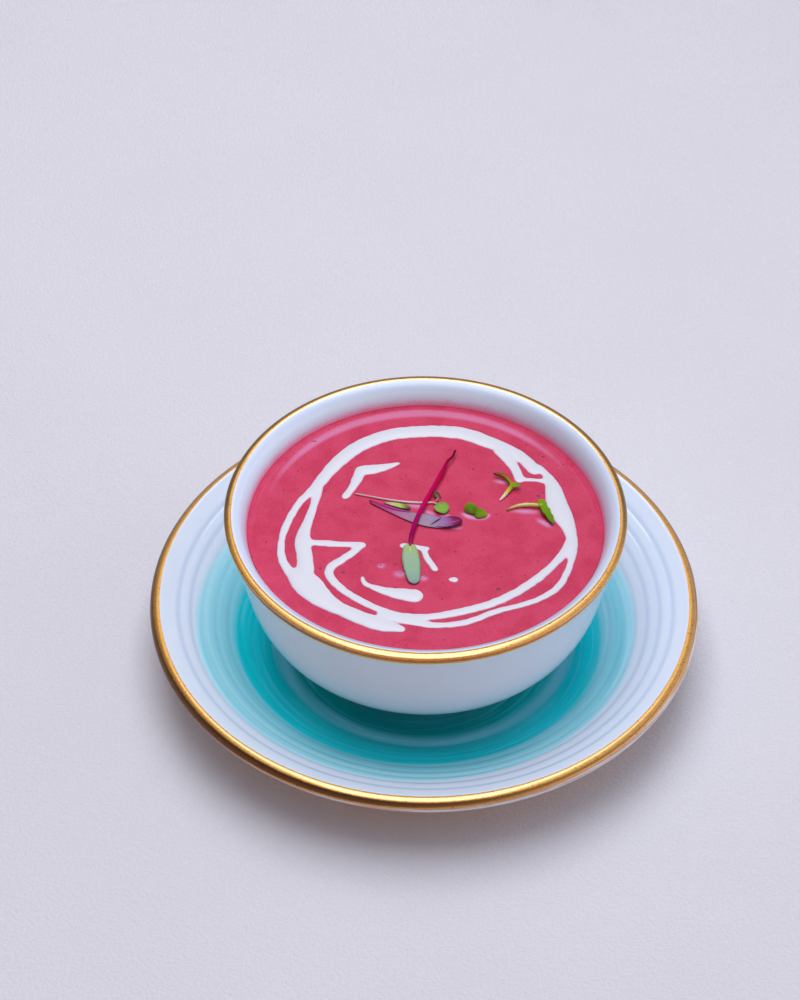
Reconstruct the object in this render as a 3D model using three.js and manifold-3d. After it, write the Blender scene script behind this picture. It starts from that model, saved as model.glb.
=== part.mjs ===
// Beet soup in a gold-rimmed porcelain bowl on its saucer, with a swirl of cream and a few sprouts.
// Millimetres, +Z up. The saucer's foot stands on z = 0, the common axis is x = y = 0, +Y is the back.

import * as THREE from 'three';
import { mergeVertices } from 'three/addons/utils/BufferGeometryUtils.js';
import Module from 'manifold-3d';

const wasm = await Module();
wasm.setup();

// Roundness of the turned pieces, the distance below which two vertices are one, and the way up
const SEGMENTS = 64;
const MERGE_DISTANCE = 1e-4;
const UPWARD = new THREE.Vector3(0, 0, 1);

// Saucer: a straight flange, thickest at its rolled rim, over a flat well and a foot ring
const SAUCER_RADIUS = 80;
const SAUCER_RIM_THICKNESS = 4.8;
const SAUCER_BEAD_HEIGHT = 21;
const FLANGE_SLOPE = 0.53;
const WELL_HEIGHT = 5.5;
const WELL_RADIUS = 40;
const WELL_FILLET_RADIUS = 47;
const SAUCER_BASE_HEIGHT = 1.8;
const SAUCER_FOOT_INNER = 41;
const SAUCER_FOOT_OUTER = 45.2;
const SAUCER_FOOT_DRAFT = 0.7;
const SAUCER_FOOT_HEIGHT = 2.6;
const BEAD_STEPS = 6;
const FILLET_STEPS = 3;

// Throwing rings on the saucer's flange, counted inwards from the rim
const RING_COUNT = 4;
const RING_FIRST_RADIUS = 72.2;
const RING_PITCH = 3.5;
const RING_DEPTH = 0.3;

// Bowl: one curve from the foot to the lip, a wall of even thickness, a rounded lip with a ledge inside it
const BOWL_FOOT_INNER = 27.2;
const BOWL_FOOT_OUTER = 30.8;
const BOWL_FOOT_CHAMFER = 0.6;
const BOWL_UNDERSIDE = 9.6;
const BOWL_FLOOR = 14.3;
const BOWL_WALL = 4.3;
const BOWL_SHOULDER = new THREE.Vector2(31.5, 11.2);
const BOWL_BELLY = new THREE.Vector2(56.3, 23.7);
const BOWL_WAIST = new THREE.Vector2(49.4, 33.2);
const BOWL_EDGE = new THREE.Vector2(56.95, 55.4);
const LIP_RADIUS = 1.08;
const LIP_CENTRE = new THREE.Vector2(55.95, 56.35);
const LIP_INNER_ANGLE = THREE.MathUtils.degToRad(110);
const LEDGE_START = new THREE.Vector2(53.6, 56.64);
const LEDGE_CORNER = new THREE.Vector2(52.2, 56.13);
const LEDGE_END = new THREE.Vector2(51.85, 54.5);
const INNER_WALL_TOP = 0.85;
const BOWL_WALL_STEPS = 10;
const LIP_STEPS = 5;
const LEDGE_STEPS = 2;
const INNER_WALL_STEPS = 7;

// Soup: level, edge radius, the rise where it wets the wall, and the gap left to the wall
const SOUP_LEVEL = 51.1;
const SOUP_RADIUS = 51.2;
const SOUP_FLAT_RADIUS = 48.8;
const MENISCUS = 0.5;
const GAP = 0.3;

// Cream lies on the soup as low domed strokes. Each key is x, y and the stroke's width there.
const CREAM_BASE_HEIGHT = 0.2;
const CREAM_HEIGHT_PER_WIDTH = 0.1;
const CREAM_MAX_HEIGHT = 0.8;
const CREAM_STEP = 4;
const CREAM_CAP_ANGLES = [40, 75];
const CREAM_SECTION = [[-1, 0], [-0.72, 0.78], [0, 1], [0.72, 0.78], [1, 0]];

const CREAM_SWIRL = {
  upperArc: [
    [-31.9, 13.9, 3.6], [-29.5, 18.7, 3.8], [-24.8, 26.4, 4.6], [-18.8, 32.6, 4.8], [-10, 37.3, 4.9],
    [1, 38.8, 5], [11, 38, 5.2], [19, 34, 5], [25.5, 30.6, 3.7], [29.3, 26.4, 4], [31.5, 23, 4.2],
  ],
  innerFork: [[21.4, 31.2, 4], [24, 27, 3.3], [26.2, 22.5, 2.8], [27, 18.9, 2.8]],
  bridge: [[27, 19, 2.2], [30, 18.8, 1.3], [33.5, 18.6, 1.7], [36, 17.5, 3]],
  rightBand: [
    [32.6, 24.2, 2.4], [34.6, 21.6, 2.2], [36.2, 17.5, 4], [37, 14, 5.1], [37.6, 9, 6.4], [39.5, 3, 5.9],
    [41.5, -3.5, 3.2], [41.2, -8, 4.4],
  ],
  frontInner: [
    [41.2, -7, 3], [36.8, -14.5, 2.5], [30.1, -22.4, 2.8], [21, -29.6, 2.9], [10, -34.2, 2.7],
    [0, -36.4, 2.4], [-8, -35.6, 2.4], [-16, -31.6, 2.3], [-23.3, -25.8, 2.5], [-26.8, -20.5, 2.5],
    [-26.3, -17.4, 2.6],
  ],
  frontOuter: [
    [42, -8, 2.6], [40.9, -15, 1.9], [37.1, -24.4, 2.2], [30, -29.9, 2], [20, -33.7, 1.9], [12, -38, 2.1],
    [4, -39.4, 2.1], [-3, -38.4, 2.4], [-12, -35.7, 2.2],
  ],
  leftOuter: [
    [-32, 14, 3], [-35.7, 9, 2.2], [-39.2, 0, 2.3], [-40.7, -8, 2], [-40.1, -15, 2.4], [-37.8, -20, 3],
  ],
  leftInner: [
    [-30.9, 14.5, 2.8], [-32.4, 5, 2.4], [-34.2, -3, 3.4], [-34.7, -8, 4.7], [-33.8, -13, 4.5],
    [-33.4, -19, 5],
  ],
  broadBand: [
    [-34.9, -21.5, 7.2], [-32.7, -24.4, 8.4], [-29.6, -28.5, 7.3], [-26.4, -31.6, 5.8], [-22.7, -34.1, 4.6],
    [-17, -37.2, 5], [-11.7, -39.6, 4.8], [-6.1, -41, 2.4],
  ],
  crossBar: [[-34, -7.9, 2.4], [-24, -8.6, 2.3], [-17.7, -8.7, 2.2]],
  diagonal: [[-17.8, -8.9, 2.2], [-21.6, -13.1, 2.6], [-26.3, -17.4, 2.6]],
};
const CREAM_HOOK = {
  arm: [[-7.6, 25.1, 0.8], [-12, 23.2, 2.9], [-16, 22.1, 4.2], [-18.9, 21.6, 3.9]],
  leg: [[-18.9, 21.6, 3.6], [-20.2, 17.4, 3], [-21.2, 14.5, 2.5], [-23.2, 10.6, 2.2]],
};
const CREAM_COMMA = {
  tail: [[-17.3, -21.2, 1], [-17, -23.4, 1.6], [-14.5, -25.2, 1.8], [-8.5, -27.4, 3.9], [-2.7, -28.3, 5.2]],
};
const CREAM_TICK = {
  bar: [[-6.3, -8.7, 2.2], [-3, -9.2, 1.6], [1, -9.7, 1.4]],
  stroke: [[-0.6, -9.8, 1.6], [0.6, -13.5, 2], [3, -18, 1.9]],
};
const CREAM_DOT = {
  drop: [[6.9, -21.6, 1], [7.7, -21.8, 2], [8.4, -21.9, 2.3]],
};

// Sprouts. A path key is x, y and height over the soup. Stem diameters and leaf widths follow the keys.
const LEAF_THICKNESS = 0.45;
const LEAF_ACROSS = 4;
const LEAF_STEPS = 7;
const STEM_SIDES = 6;
const STEM_STEPS = 9;

const BEET_STEM = {
  path: [
    [8.5, 29.4, 1.5], [7.6, 26.6, 1.5], [6.2, 24.6, 1.5], [4.8, 20.5, 1.5], [0.4, 9, 1.5],
    [-1.9, 2.7, 1.4], [-3, -1.5, 1.35], [-3.9, -6, 1.15], [-4.2, -10, 0.95],
  ],
  diameters: [0.45, 0.5, 0.75, 1.15, 1.2, 1.2, 1.15, 1.1, 0.8],
};
const BEET_LEAF = {
  path: [
    [-4.3, -9, 0.95], [-4.2, -11.5, 0.95], [-3.9, -15, 0.8], [-3.5, -18.5, 0.6], [-3.1, -21.8, 0.5],
    [-2.8, -24.1, 0.45],
  ],
  widths: [1.5, 4.3, 5.1, 4.7, 3.8, 0.7],
  cup: 0.1,
  roll: 4,
};
const PURPLE_LEAF = {
  path: [
    [-16, 8.2, 0.5], [-12, 6.1, 0.4], [-8, 4.2, 0.35], [-4, 2.7, 0.33], [0, 1.4, 0.33], [4, 0.2, 0.4],
    [7.2, 0.3, 0.55], [9.7, 1, 0.7],
  ],
  widths: [0.5, 1.9, 3, 4.5, 4.5, 3.7, 3.5, 0.9],
  cup: 0.05,
  roll: 0,
};
const GREEN_LEAFLET = {
  path: [[-11.3, 8.4, 0.4], [-8.8, 7.6, 0.42], [-6.3, 6.8, 0.45], [-4.4, 6.3, 0.5]],
  widths: [0.5, 1.5, 1.8, 0.6],
  cup: 0.12,
  roll: 0,
};
const PALE_STEM = {
  path: [
    [-20.5, 12, 0.42], [-15, 10.9, 0.4], [-8, 9.4, 0.4], [-1, 8.8, 0.4], [2.8, 8.5, 0.5], [3.9, 7.3, 0.6],
  ],
  diameters: [0.6, 0.7, 0.75, 0.75, 0.7, 0.6],
};
const PALE_COTYLEDON = {
  path: [[3.4, 8.3, 0.65], [3.9, 7.4, 0.75], [4.7, 6, 0.8], [5.5, 4.6, 0.65]],
  widths: [1.4, 4, 4.2, 1.4],
  cup: 0.14,
  roll: 0,
};
const PALE_CURL = {
  path: [[2.2, 8.7, 0.5], [3.2, 9.6, 0.9], [3.4, 10.7, 1.1], [2.5, 11.9, 0.9]],
  widths: [0.6, 1.1, 1.1, 0.5],
  cup: 0.1,
  roll: 0,
};
const PAIR_LEFT = {
  path: [[13.6, 4.6, 0.5], [13.1, 5.4, 0.8], [12.5, 6.9, 1], [12.1, 8.5, 0.9]],
  widths: [1.2, 3, 3.5, 1.3],
  cup: -0.14,
  roll: 0,
};
const PAIR_RIGHT = {
  path: [[13.7, 4.8, 0.5], [14.6, 4.6, 0.8], [15.9, 4.2, 0.9], [17.3, 3.8, 0.7]],
  widths: [1.2, 3.6, 3.9, 1.3],
  cup: -0.14,
  roll: 0,
};
const PAIR_STEM = {
  path: [[13.2, 4, 0.3], [13.4, 4.3, 0.4], [13.8, 4.9, 0.55]],
  diameters: [0.5, 0.6, 0.6],
};
const BACK_STEM = {
  path: [[21.6, 10.6, 0.4], [22.7, 12.4, 0.6], [23.8, 14.3, 0.9], [24.9, 16.3, 1.2]],
  diameters: [0.6, 0.9, 1.1, 0.9],
};
const BACK_LEAF = {
  path: [[24.9, 16.2, 1.2], [23.9, 17.9, 1.4], [22.2, 19.4, 1.45], [19.4, 20.3, 1.2]],
  widths: [0.9, 1.5, 1.9, 0.6],
  cup: 0.12,
  roll: 20,
};
const BACK_LEAFLET = {
  path: [[24.6, 16.1, 1.2], [25.5, 16.2, 1.3], [26.4, 15.9, 1.3], [27.4, 15.5, 1.2]],
  widths: [1, 1.5, 1.2, 0.5],
  cup: 0.12,
  roll: 0,
};
const SIDE_STEM = {
  path: [[23.3, 6.6, 0.4], [26, 7.5, 0.7], [29, 7.9, 0.9], [32, 7.5, 1.1], [33.8, 7.2, 1.25]],
  diameters: [0.6, 0.9, 1, 1, 0.9],
};
const SIDE_LEAF = {
  path: [[33.2, 9.6, 1.35], [33.5, 8.1, 1.35], [34.2, 5.9, 1.35], [35.2, 3.4, 1.3], [36.3, 0, 1.1]],
  widths: [0.9, 1.9, 2.2, 1.9, 0.6],
  cup: 0.12,
  roll: 0,
};

// Finishes
const FINISHES = {
  saucerGlaze: { color: 0x9fc6d6, roughness: 0.2, metalness: 0 },
  bowlGlaze: { color: 0xd5dcea, roughness: 0.2, metalness: 0 },
  soup: { color: 0xc94769, roughness: 0.3, metalness: 0 },
  cream: { color: 0xe6e8f2, roughness: 0.4, metalness: 0 },
  beet: { color: 0xa80b5c, roughness: 0.4, metalness: 0 },
  purpleLeaf: { color: 0x94729b, roughness: 0.45, metalness: 0 },
  paleSprout: { color: 0xa9c48c, roughness: 0.45, metalness: 0 },
  greenLeaf: { color: 0x6c9d14, roughness: 0.4, metalness: 0 },
};

/** Merges shared vertices, drops collapsed triangles and turns all faces outwards. */
function closedBody(source) {
  source.deleteAttribute('normal');
  source.deleteAttribute('uv');
  const merged = mergeVertices(source, MERGE_DISTANCE);
  const index = merged.index.array;
  const corner = (i) => new THREE.Vector3().fromBufferAttribute(merged.attributes.position, i);
  const triangles = [];
  let volume = 0;
  for (let i = 0; i < index.length; i += 3) {
    const [a, b, c] = index.subarray(i, i + 3);
    if (a === b || b === c || c === a) {
      continue;
    }
    triangles.push([a, b, c]);
    volume += corner(a).dot(corner(b).cross(corner(c)));
  }
  const outward = volume > 0 ? triangles : triangles.map(([a, b, c]) => [a, c, b]);
  merged.setIndex(outward.flat());
  return merged;
}

/** Fuses closed bodies into one. */
function fuse(bodies) {
  const solids = bodies.map((body) => new wasm.Manifold(new wasm.Mesh({
    numProp: 3,
    vertProperties: new Float32Array(body.attributes.position.array),
    triVerts: new Uint32Array(body.index.array),
  })));
  const whole = solids.reduce((sum, solid) => sum.add(solid));
  const { vertProperties, triVerts } = whole.getMesh();
  const fused = new THREE.BufferGeometry();
  fused.setAttribute('position', new THREE.BufferAttribute(vertProperties, 3));
  fused.setIndex(new THREE.BufferAttribute(triVerts, 1));
  return closedBody(fused);
}

/** Turns a profile of (radius, height) points, from axis to axis, round the Z axis. */
function turned(profile) {
  return closedBody(new THREE.LatheGeometry(profile, SEGMENTS).rotateX(Math.PI / 2));
}

/** Points on a circular arc in the profile plane. */
function arcPoints(centre, radius, start, end, steps) {
  return Array.from({ length: steps + 1 }, (_, i) => {
    const angle = start + (end - start) * (i / steps);
    return new THREE.Vector2(centre.x + radius * Math.cos(angle), centre.y + radius * Math.sin(angle));
  });
}

/**
 * Skins a row of closed sections and caps both ends.
 * From the point mirrorFrom on, the squares are split along the other diagonal, so that the two faces
 * of a thin sheet are split alike.
 */
function loft(sections, mirrorFrom = Infinity) {
  const count = sections[0].length;
  const points = sections.flat();
  const index = [];
  for (let i = 0; i + 1 < sections.length; i += 1) {
    for (let k = 0; k < count; k += 1) {
      const a = i * count + k;
      const b = i * count + (k + 1) % count;
      const c = b + count;
      const d = a + count;
      index.push(...(k < mirrorFrom ? [a, b, c, a, c, d] : [a, b, d, b, c, d]));
    }
  }
  for (const [start, turn] of [[0, 1], [points.length - count, 0]]) {
    const hub = points.length;
    const ring = points.slice(start, start + count);
    points.push(ring.reduce((sum, p) => sum.add(p), new THREE.Vector3()).divideScalar(count));
    for (let k = 0; k < count; k += 1) {
      const edge = [start + (k + turn) % count, start + (k + 1 - turn) % count];
      index.push(hub, ...edge);
    }
  }
  const geometry = new THREE.BufferGeometry().setFromPoints(points);
  geometry.setIndex(index);
  return closedBody(geometry);
}

/** A smooth curve through keys of three numbers. */
function curveThrough(keys) {
  return new THREE.CatmullRomCurve3(keys.map((key) => new THREE.Vector3(...key)));
}

/** The value at t of a smooth curve through evenly spaced values. */
function valueAt(values, t) {
  return new THREE.SplineCurve(values.map((value, i) => new THREE.Vector2(i, value))).getPoint(t).y;
}

/** Place, direction, sideways and upward unit vectors at t on a curve. */
function frameAt(curve, t) {
  const place = curve.getPoint(t);
  const along = curve.getTangent(t);
  const side = new THREE.Vector3().crossVectors(along, UPWARD);
  side.normalize();
  const up = new THREE.Vector3().crossVectors(side, along);
  return { place, along, side, up };
}

/** One stroke of cream: a flat-based dome whose width follows the keys, with round ends. */
function creamStroke(keys) {
  const route = curveThrough(keys);
  const steps = Math.ceil(route.getLength() / CREAM_STEP) + 1;
  const section = (t, capAngle, direction) => {
    const { x, y, z: width } = route.getPoint(t);
    const along = route.getTangent(t).setZ(0).normalize();
    const reach = direction * Math.sin(capAngle) * width / 2;
    const half = Math.cos(capAngle) * width / 2;
    const fullHeight = Math.min(CREAM_BASE_HEIGHT + CREAM_HEIGHT_PER_WIDTH * width, CREAM_MAX_HEIGHT);
    const height = fullHeight * Math.cos(capAngle);
    return CREAM_SECTION.map(([across, rise]) => new THREE.Vector3(
      x + along.x * reach - along.y * half * across,
      y + along.y * reach + along.x * half * across,
      height * rise,
    ));
  };
  const caps = CREAM_CAP_ANGLES.map(THREE.MathUtils.degToRad);
  const sections = [
    ...caps.toReversed().map((angle) => section(0, angle, -1)),
    ...Array.from({ length: steps + 1 }, (_, i) => section(i / steps, 0, 0)),
    ...caps.map((angle) => section(1, angle, 1)),
  ];
  return loft(sections);
}

/** All the strokes of one patch of cream, fused. */
function creamPatch(strokes) {
  return fuse(Object.values(strokes).map(creamStroke));
}

/** A round stem along its path, with the diameter following the keys. */
function stem({ path, diameters }) {
  const route = curveThrough(path);
  const sections = Array.from({ length: STEM_STEPS + 1 }, (_, i) => {
    const t = i / STEM_STEPS;
    const { place, side, up } = frameAt(route, t);
    const radius = valueAt(diameters, t) / 2;
    return Array.from({ length: STEM_SIDES }, (_, k) => {
      const angle = 2 * Math.PI * k / STEM_SIDES;
      return place.clone()
        .addScaledVector(side, radius * Math.cos(angle))
        .addScaledVector(up, radius * Math.sin(angle));
    });
  });
  return loft(sections);
}

/** A thin leaf along its midrib: width follows the keys, edges lifted by cup, turned by roll degrees. */
function leaf({ path, widths, cup, roll }) {
  const midrib = curveThrough(path);
  const sections = Array.from({ length: LEAF_STEPS + 1 }, (_, i) => {
    const t = i / LEAF_STEPS;
    const { place, along, side, up } = frameAt(midrib, t);
    const angle = THREE.MathUtils.degToRad(roll);
    side.applyAxisAngle(along, angle);
    up.applyAxisAngle(along, angle);
    const half = valueAt(widths, t) / 2;
    const face = (lift) => Array.from({ length: LEAF_ACROSS + 1 }, (_, k) => {
      const across = 2 * k / LEAF_ACROSS - 1;
      return place.clone()
        .addScaledVector(side, across * half)
        .addScaledVector(up, cup * half * across * across + lift);
    });
    return [...face(LEAF_THICKNESS / 2), ...face(-LEAF_THICKNESS / 2).reverse()];
  });
  return loft(sections, LEAF_ACROSS + 1);
}

/** Profile of the saucer, from the axis underneath to the axis on top. */
function saucerProfile() {
  const lean = Math.atan(FLANGE_SLOPE);
  const beadRadius = SAUCER_RIM_THICKNESS / 2;
  const beadCentre = new THREE.Vector2(SAUCER_RADIUS - beadRadius, SAUCER_BEAD_HEIGHT);
  const bead = arcPoints(beadCentre, beadRadius, lean - Math.PI / 2, lean + Math.PI / 2, BEAD_STEPS);
  const over = bead.at(-1);
  const flange = (radius, sink = 0) => new THREE.Vector2(
    radius,
    over.y - (over.x - radius) * FLANGE_SLOPE - sink,
  );
  const rings = [];
  for (let i = 0; i < RING_COUNT; i += 1) {
    const radius = RING_FIRST_RADIUS - i * RING_PITCH;
    rings.push(flange(radius + RING_PITCH / 2), flange(radius, RING_DEPTH));
  }
  rings.push(flange(RING_FIRST_RADIUS - (RING_COUNT - 0.5) * RING_PITCH));
  const foldRadius = over.x - (over.y - WELL_HEIGHT) / FLANGE_SLOPE;
  const fillet = new THREE.QuadraticBezierCurve(
    flange(WELL_FILLET_RADIUS),
    new THREE.Vector2(foldRadius, WELL_HEIGHT),
    new THREE.Vector2(WELL_RADIUS, WELL_HEIGHT),
  );
  return [
    new THREE.Vector2(0, SAUCER_BASE_HEIGHT),
    new THREE.Vector2(SAUCER_FOOT_INNER - SAUCER_FOOT_DRAFT, SAUCER_BASE_HEIGHT),
    new THREE.Vector2(SAUCER_FOOT_INNER, 0),
    new THREE.Vector2(SAUCER_FOOT_OUTER, 0),
    new THREE.Vector2(SAUCER_FOOT_OUTER + SAUCER_FOOT_DRAFT, SAUCER_FOOT_HEIGHT),
    ...bead,
    ...rings,
    ...fillet.getPoints(FILLET_STEPS),
    new THREE.Vector2(0, WELL_HEIGHT),
  ];
}

/** The bowl's outer wall from the shoulder over the foot to the lip. */
const bowlOuterWall = new THREE.CubicBezierCurve(BOWL_SHOULDER, BOWL_BELLY, BOWL_WAIST, BOWL_EDGE);

/** A point of the bowl's inner wall, a wall's thickness inside the outer wall at t. */
function bowlInnerWall(t) {
  const along = bowlOuterWall.getTangent(t);
  return bowlOuterWall.getPoint(t).add(new THREE.Vector2(-along.y, along.x).multiplyScalar(BOWL_WALL));
}

/** The inside of the bowl, from the lip down to the axis. */
function bowlInside() {
  const lip = arcPoints(LIP_CENTRE, LIP_RADIUS, LIP_INNER_ANGLE, LIP_INNER_ANGLE, 1)[0];
  const ledge = new THREE.QuadraticBezierCurve(LEDGE_START, LEDGE_CORNER, LEDGE_END);
  const wall = Array.from(
    { length: INNER_WALL_STEPS + 1 },
    (_, i) => bowlInnerWall(INNER_WALL_TOP * (1 - i / INNER_WALL_STEPS)),
  );
  return [lip, ...ledge.getPoints(LEDGE_STEPS), ...wall, new THREE.Vector2(0, BOWL_FLOOR)];
}

/** Profile of the bowl, from the axis underneath to the axis inside. */
function bowlProfile() {
  const lipStart = BOWL_EDGE.clone().sub(LIP_CENTRE).angle() - 2 * Math.PI;
  const lip = arcPoints(LIP_CENTRE, LIP_RADIUS, lipStart, LIP_INNER_ANGLE, LIP_STEPS).slice(1, -1);
  return [
    new THREE.Vector2(0, BOWL_UNDERSIDE),
    new THREE.Vector2(BOWL_FOOT_INNER - BOWL_FOOT_CHAMFER, BOWL_UNDERSIDE),
    new THREE.Vector2(BOWL_FOOT_INNER, WELL_HEIGHT),
    new THREE.Vector2(BOWL_FOOT_OUTER, WELL_HEIGHT),
    new THREE.Vector2(BOWL_FOOT_OUTER + BOWL_FOOT_CHAMFER, WELL_HEIGHT + BOWL_FOOT_CHAMFER),
    ...bowlOuterWall.getPoints(BOWL_WALL_STEPS),
    ...lip,
    ...bowlInside(),
  ];
}

/** Profile of the soup: the bowl's inside less the gap, up to the level and the rise at the wall. */
function soupProfile() {
  const side = bowlInside().reverse()
    .map((point) => new THREE.Vector2(Math.max(point.x - GAP, 0), point.y + GAP))
    .filter((point) => point.y < SOUP_LEVEL - MENISCUS);
  const edge = SOUP_RADIUS - GAP;
  return [
    ...side,
    new THREE.Vector2(edge, SOUP_LEVEL + MENISCUS),
    new THREE.Vector2((edge + SOUP_FLAT_RADIUS) / 2, SOUP_LEVEL + MENISCUS / 4),
    new THREE.Vector2(SOUP_FLAT_RADIUS, SOUP_LEVEL),
    new THREE.Vector2(0, SOUP_LEVEL),
  ];
}

/** A named mesh with its own material. */
function piece(name, geometry, finish) {
  geometry.computeVertexNormals();
  const mesh = new THREE.Mesh(geometry, new THREE.MeshStandardMaterial(finish));
  mesh.name = name;
  return mesh;
}

const dishes = new THREE.Group();
dishes.add(
  piece('saucer', turned(saucerProfile()), FINISHES.saucerGlaze),
  piece('bowl', turned(bowlProfile()), FINISHES.bowlGlaze),
  piece('soup', turned(soupProfile()), FINISHES.soup),
);

const toppings = new THREE.Group();
toppings.position.z = SOUP_LEVEL;
toppings.add(
  piece('cream_swirl', creamPatch(CREAM_SWIRL), FINISHES.cream),
  piece('cream_hook', creamPatch(CREAM_HOOK), FINISHES.cream),
  piece('cream_comma', creamPatch(CREAM_COMMA), FINISHES.cream),
  piece('cream_tick', creamPatch(CREAM_TICK), FINISHES.cream),
  piece('cream_dot', creamPatch(CREAM_DOT), FINISHES.cream),
  piece('beet_sprout', fuse([stem(BEET_STEM), leaf(BEET_LEAF)]), FINISHES.beet),
  piece('purple_leaf', leaf(PURPLE_LEAF), FINISHES.purpleLeaf),
  piece('green_leaflet', leaf(GREEN_LEAFLET), FINISHES.greenLeaf),
  piece('pale_sprout', fuse([stem(PALE_STEM), leaf(PALE_COTYLEDON), leaf(PALE_CURL)]), FINISHES.paleSprout),
  piece('cress_pair', fuse([leaf(PAIR_LEFT), leaf(PAIR_RIGHT), stem(PAIR_STEM)]), FINISHES.greenLeaf),
  piece('cress_back', fuse([stem(BACK_STEM), leaf(BACK_LEAF), leaf(BACK_LEAFLET)]), FINISHES.greenLeaf),
  piece('cress_side', fuse([stem(SIDE_STEM), leaf(SIDE_LEAF)]), FINISHES.greenLeaf),
);

const servedBowl = new THREE.Group();
servedBowl.add(dishes, toppings);

export default servedBowl;
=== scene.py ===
"""Looks of a bowl of beet soup on its saucer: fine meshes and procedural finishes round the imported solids.

Lengths are millimetres in the solids' frame, +Z up and the saucer's foot on z = 0, until a mesh is made.
Ways round the upright axis are degrees from +X towards +Y, and the camera looks from -Y.
"""

import logging
import math
from abc import ABC, abstractmethod
from dataclasses import dataclass, field, fields
from enum import Enum
from functools import cached_property

import bmesh
import bpy
import numpy as np
from mathutils import Matrix, Vector
from mathutils.bvhtree import BVHTree


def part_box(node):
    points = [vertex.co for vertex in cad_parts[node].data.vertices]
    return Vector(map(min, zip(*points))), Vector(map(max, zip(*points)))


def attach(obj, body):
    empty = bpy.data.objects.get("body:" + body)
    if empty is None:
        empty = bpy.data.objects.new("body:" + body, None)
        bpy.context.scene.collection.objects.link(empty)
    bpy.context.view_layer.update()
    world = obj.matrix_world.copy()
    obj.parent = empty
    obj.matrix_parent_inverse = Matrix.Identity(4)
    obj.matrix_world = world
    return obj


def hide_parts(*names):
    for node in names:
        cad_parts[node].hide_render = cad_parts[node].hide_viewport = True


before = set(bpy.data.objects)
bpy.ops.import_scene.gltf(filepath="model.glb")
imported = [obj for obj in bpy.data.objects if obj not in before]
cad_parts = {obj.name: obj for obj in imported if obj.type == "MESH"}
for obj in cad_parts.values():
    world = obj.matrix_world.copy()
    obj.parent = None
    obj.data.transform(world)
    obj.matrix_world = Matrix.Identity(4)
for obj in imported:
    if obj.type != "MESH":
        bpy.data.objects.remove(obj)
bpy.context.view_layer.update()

LOG = logging.getLogger("beet_soup")
MM = 0.001
SEED = 7
BODY = "root"
# A flat round face has one more ring at this share of its radius
FLAT_SHARE = 0.6
# The most of a side that the curve round one of its corners takes up
CORNER_SHARE = 0.45
# Keeps a divisor above 0
TINY = 1e-6

Colour = tuple[float, float, float, float]
Shade = tuple[int, int, int]
Stops = tuple[tuple[float, Colour], ...]
Keys = tuple[tuple[float, ...], ...]
Span = tuple[float, float]


class Value(str, Enum):
    """Names of the values that a mesh hands to its finish, one per point."""

    RIM = "rim"
    TOP = "top"
    FILM_AND_GLINT = "film"
    CORE = "core"
    ALONG = "along"
    ACROSS = "across"
    TINT = "tint"


class Slot(str, Enum):
    """The record's material slots."""

    SAUCER = "saucer_glaze"
    BOWL = "bowl_glaze"
    SOUP = "soup"
    CREAM = "cream"
    BEET = "beet_sprout"
    PURPLE = "purple_leaf"
    PALE = "pale_sprout"
    CRESS = "cress"


def shown(red: int, green: int, blue: int) -> Colour:
    """Turns a colour as it looks on a screen into the linear colour that a shader takes.

    Args:
        red: Red from 0 to 255.
        green: Green from 0 to 255.
        blue: Blue from 0 to 255.

    Returns:
        Linear red, green and blue, and an alpha of 1.
    """
    parts = [channel / 255 for channel in (red, green, blue)]
    linear = [c / 12.92 if c <= 0.04045 else ((c + 0.055) / 1.055) ** 2.4 for c in parts]
    return (*linear, 1.0)


def stops(*rows: tuple[float, int, int, int]) -> Stops:
    """A ramp's stops, from rows of a place and a colour as it looks on a screen."""
    return tuple((place, shown(*colour)) for place, *colour in rows)


class Signal:
    """A shader socket that Python's operators combine through Math nodes."""

    def __init__(self, graph: "Graph", socket: bpy.types.NodeSocket | None) -> None:
        """Wraps one output socket of a graph's node."""
        self.graph = graph
        self.socket = socket

    def math(self, operation: str, first: "Signal | float", second: "Signal | float" = 0.0) -> "Signal":
        """Adds a Math node with this operation on one or two values."""
        return self.graph.node("ShaderNodeMath", {"operation": operation}, {0: first, 1: second})

    def __add__(self, other: "Signal | float") -> "Signal":
        """This value plus another."""
        return self.math("ADD", self, other)

    def __radd__(self, other: float) -> "Signal":
        """A number plus this value."""
        return self.math("ADD", other, self)

    def __sub__(self, other: "Signal | float") -> "Signal":
        """This value less another."""
        return self.math("SUBTRACT", self, other)

    def __rsub__(self, other: float) -> "Signal":
        """A number less this value."""
        return self.math("SUBTRACT", other, self)

    def __mul__(self, other: "Signal | float") -> "Signal":
        """This value times another."""
        return self.math("MULTIPLY", self, other)

    def __rmul__(self, other: float) -> "Signal":
        """A number times this value."""
        return self.math("MULTIPLY", other, self)

    def __truediv__(self, other: "Signal | float") -> "Signal":
        """This value over another."""
        return self.math("DIVIDE", self, other)

    def __rtruediv__(self, other: float) -> "Signal":
        """A number over this value."""
        return self.math("DIVIDE", other, self)

    def __abs__(self) -> "Signal":
        """This value without its sign."""
        return self.math("ABSOLUTE", self)

    def sine(self) -> "Signal":
        """The sine of this value."""
        return self.math("SINE", self)

    def rise(self, low: float, high: float) -> "Signal":
        """A smooth mask, 0 where this value is at low or less and 1 at high or more."""
        settings = {"interpolation_type": "SMOOTHSTEP"}
        return self.graph.node("ShaderNodeMapRange", settings, {0: self, 1: low, 2: high})

    def fall(self, low: float, high: float) -> "Signal":
        """A smooth mask, 1 where this value is at low or less and 0 at high or more."""
        return 1 - self.rise(low, high)


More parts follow.
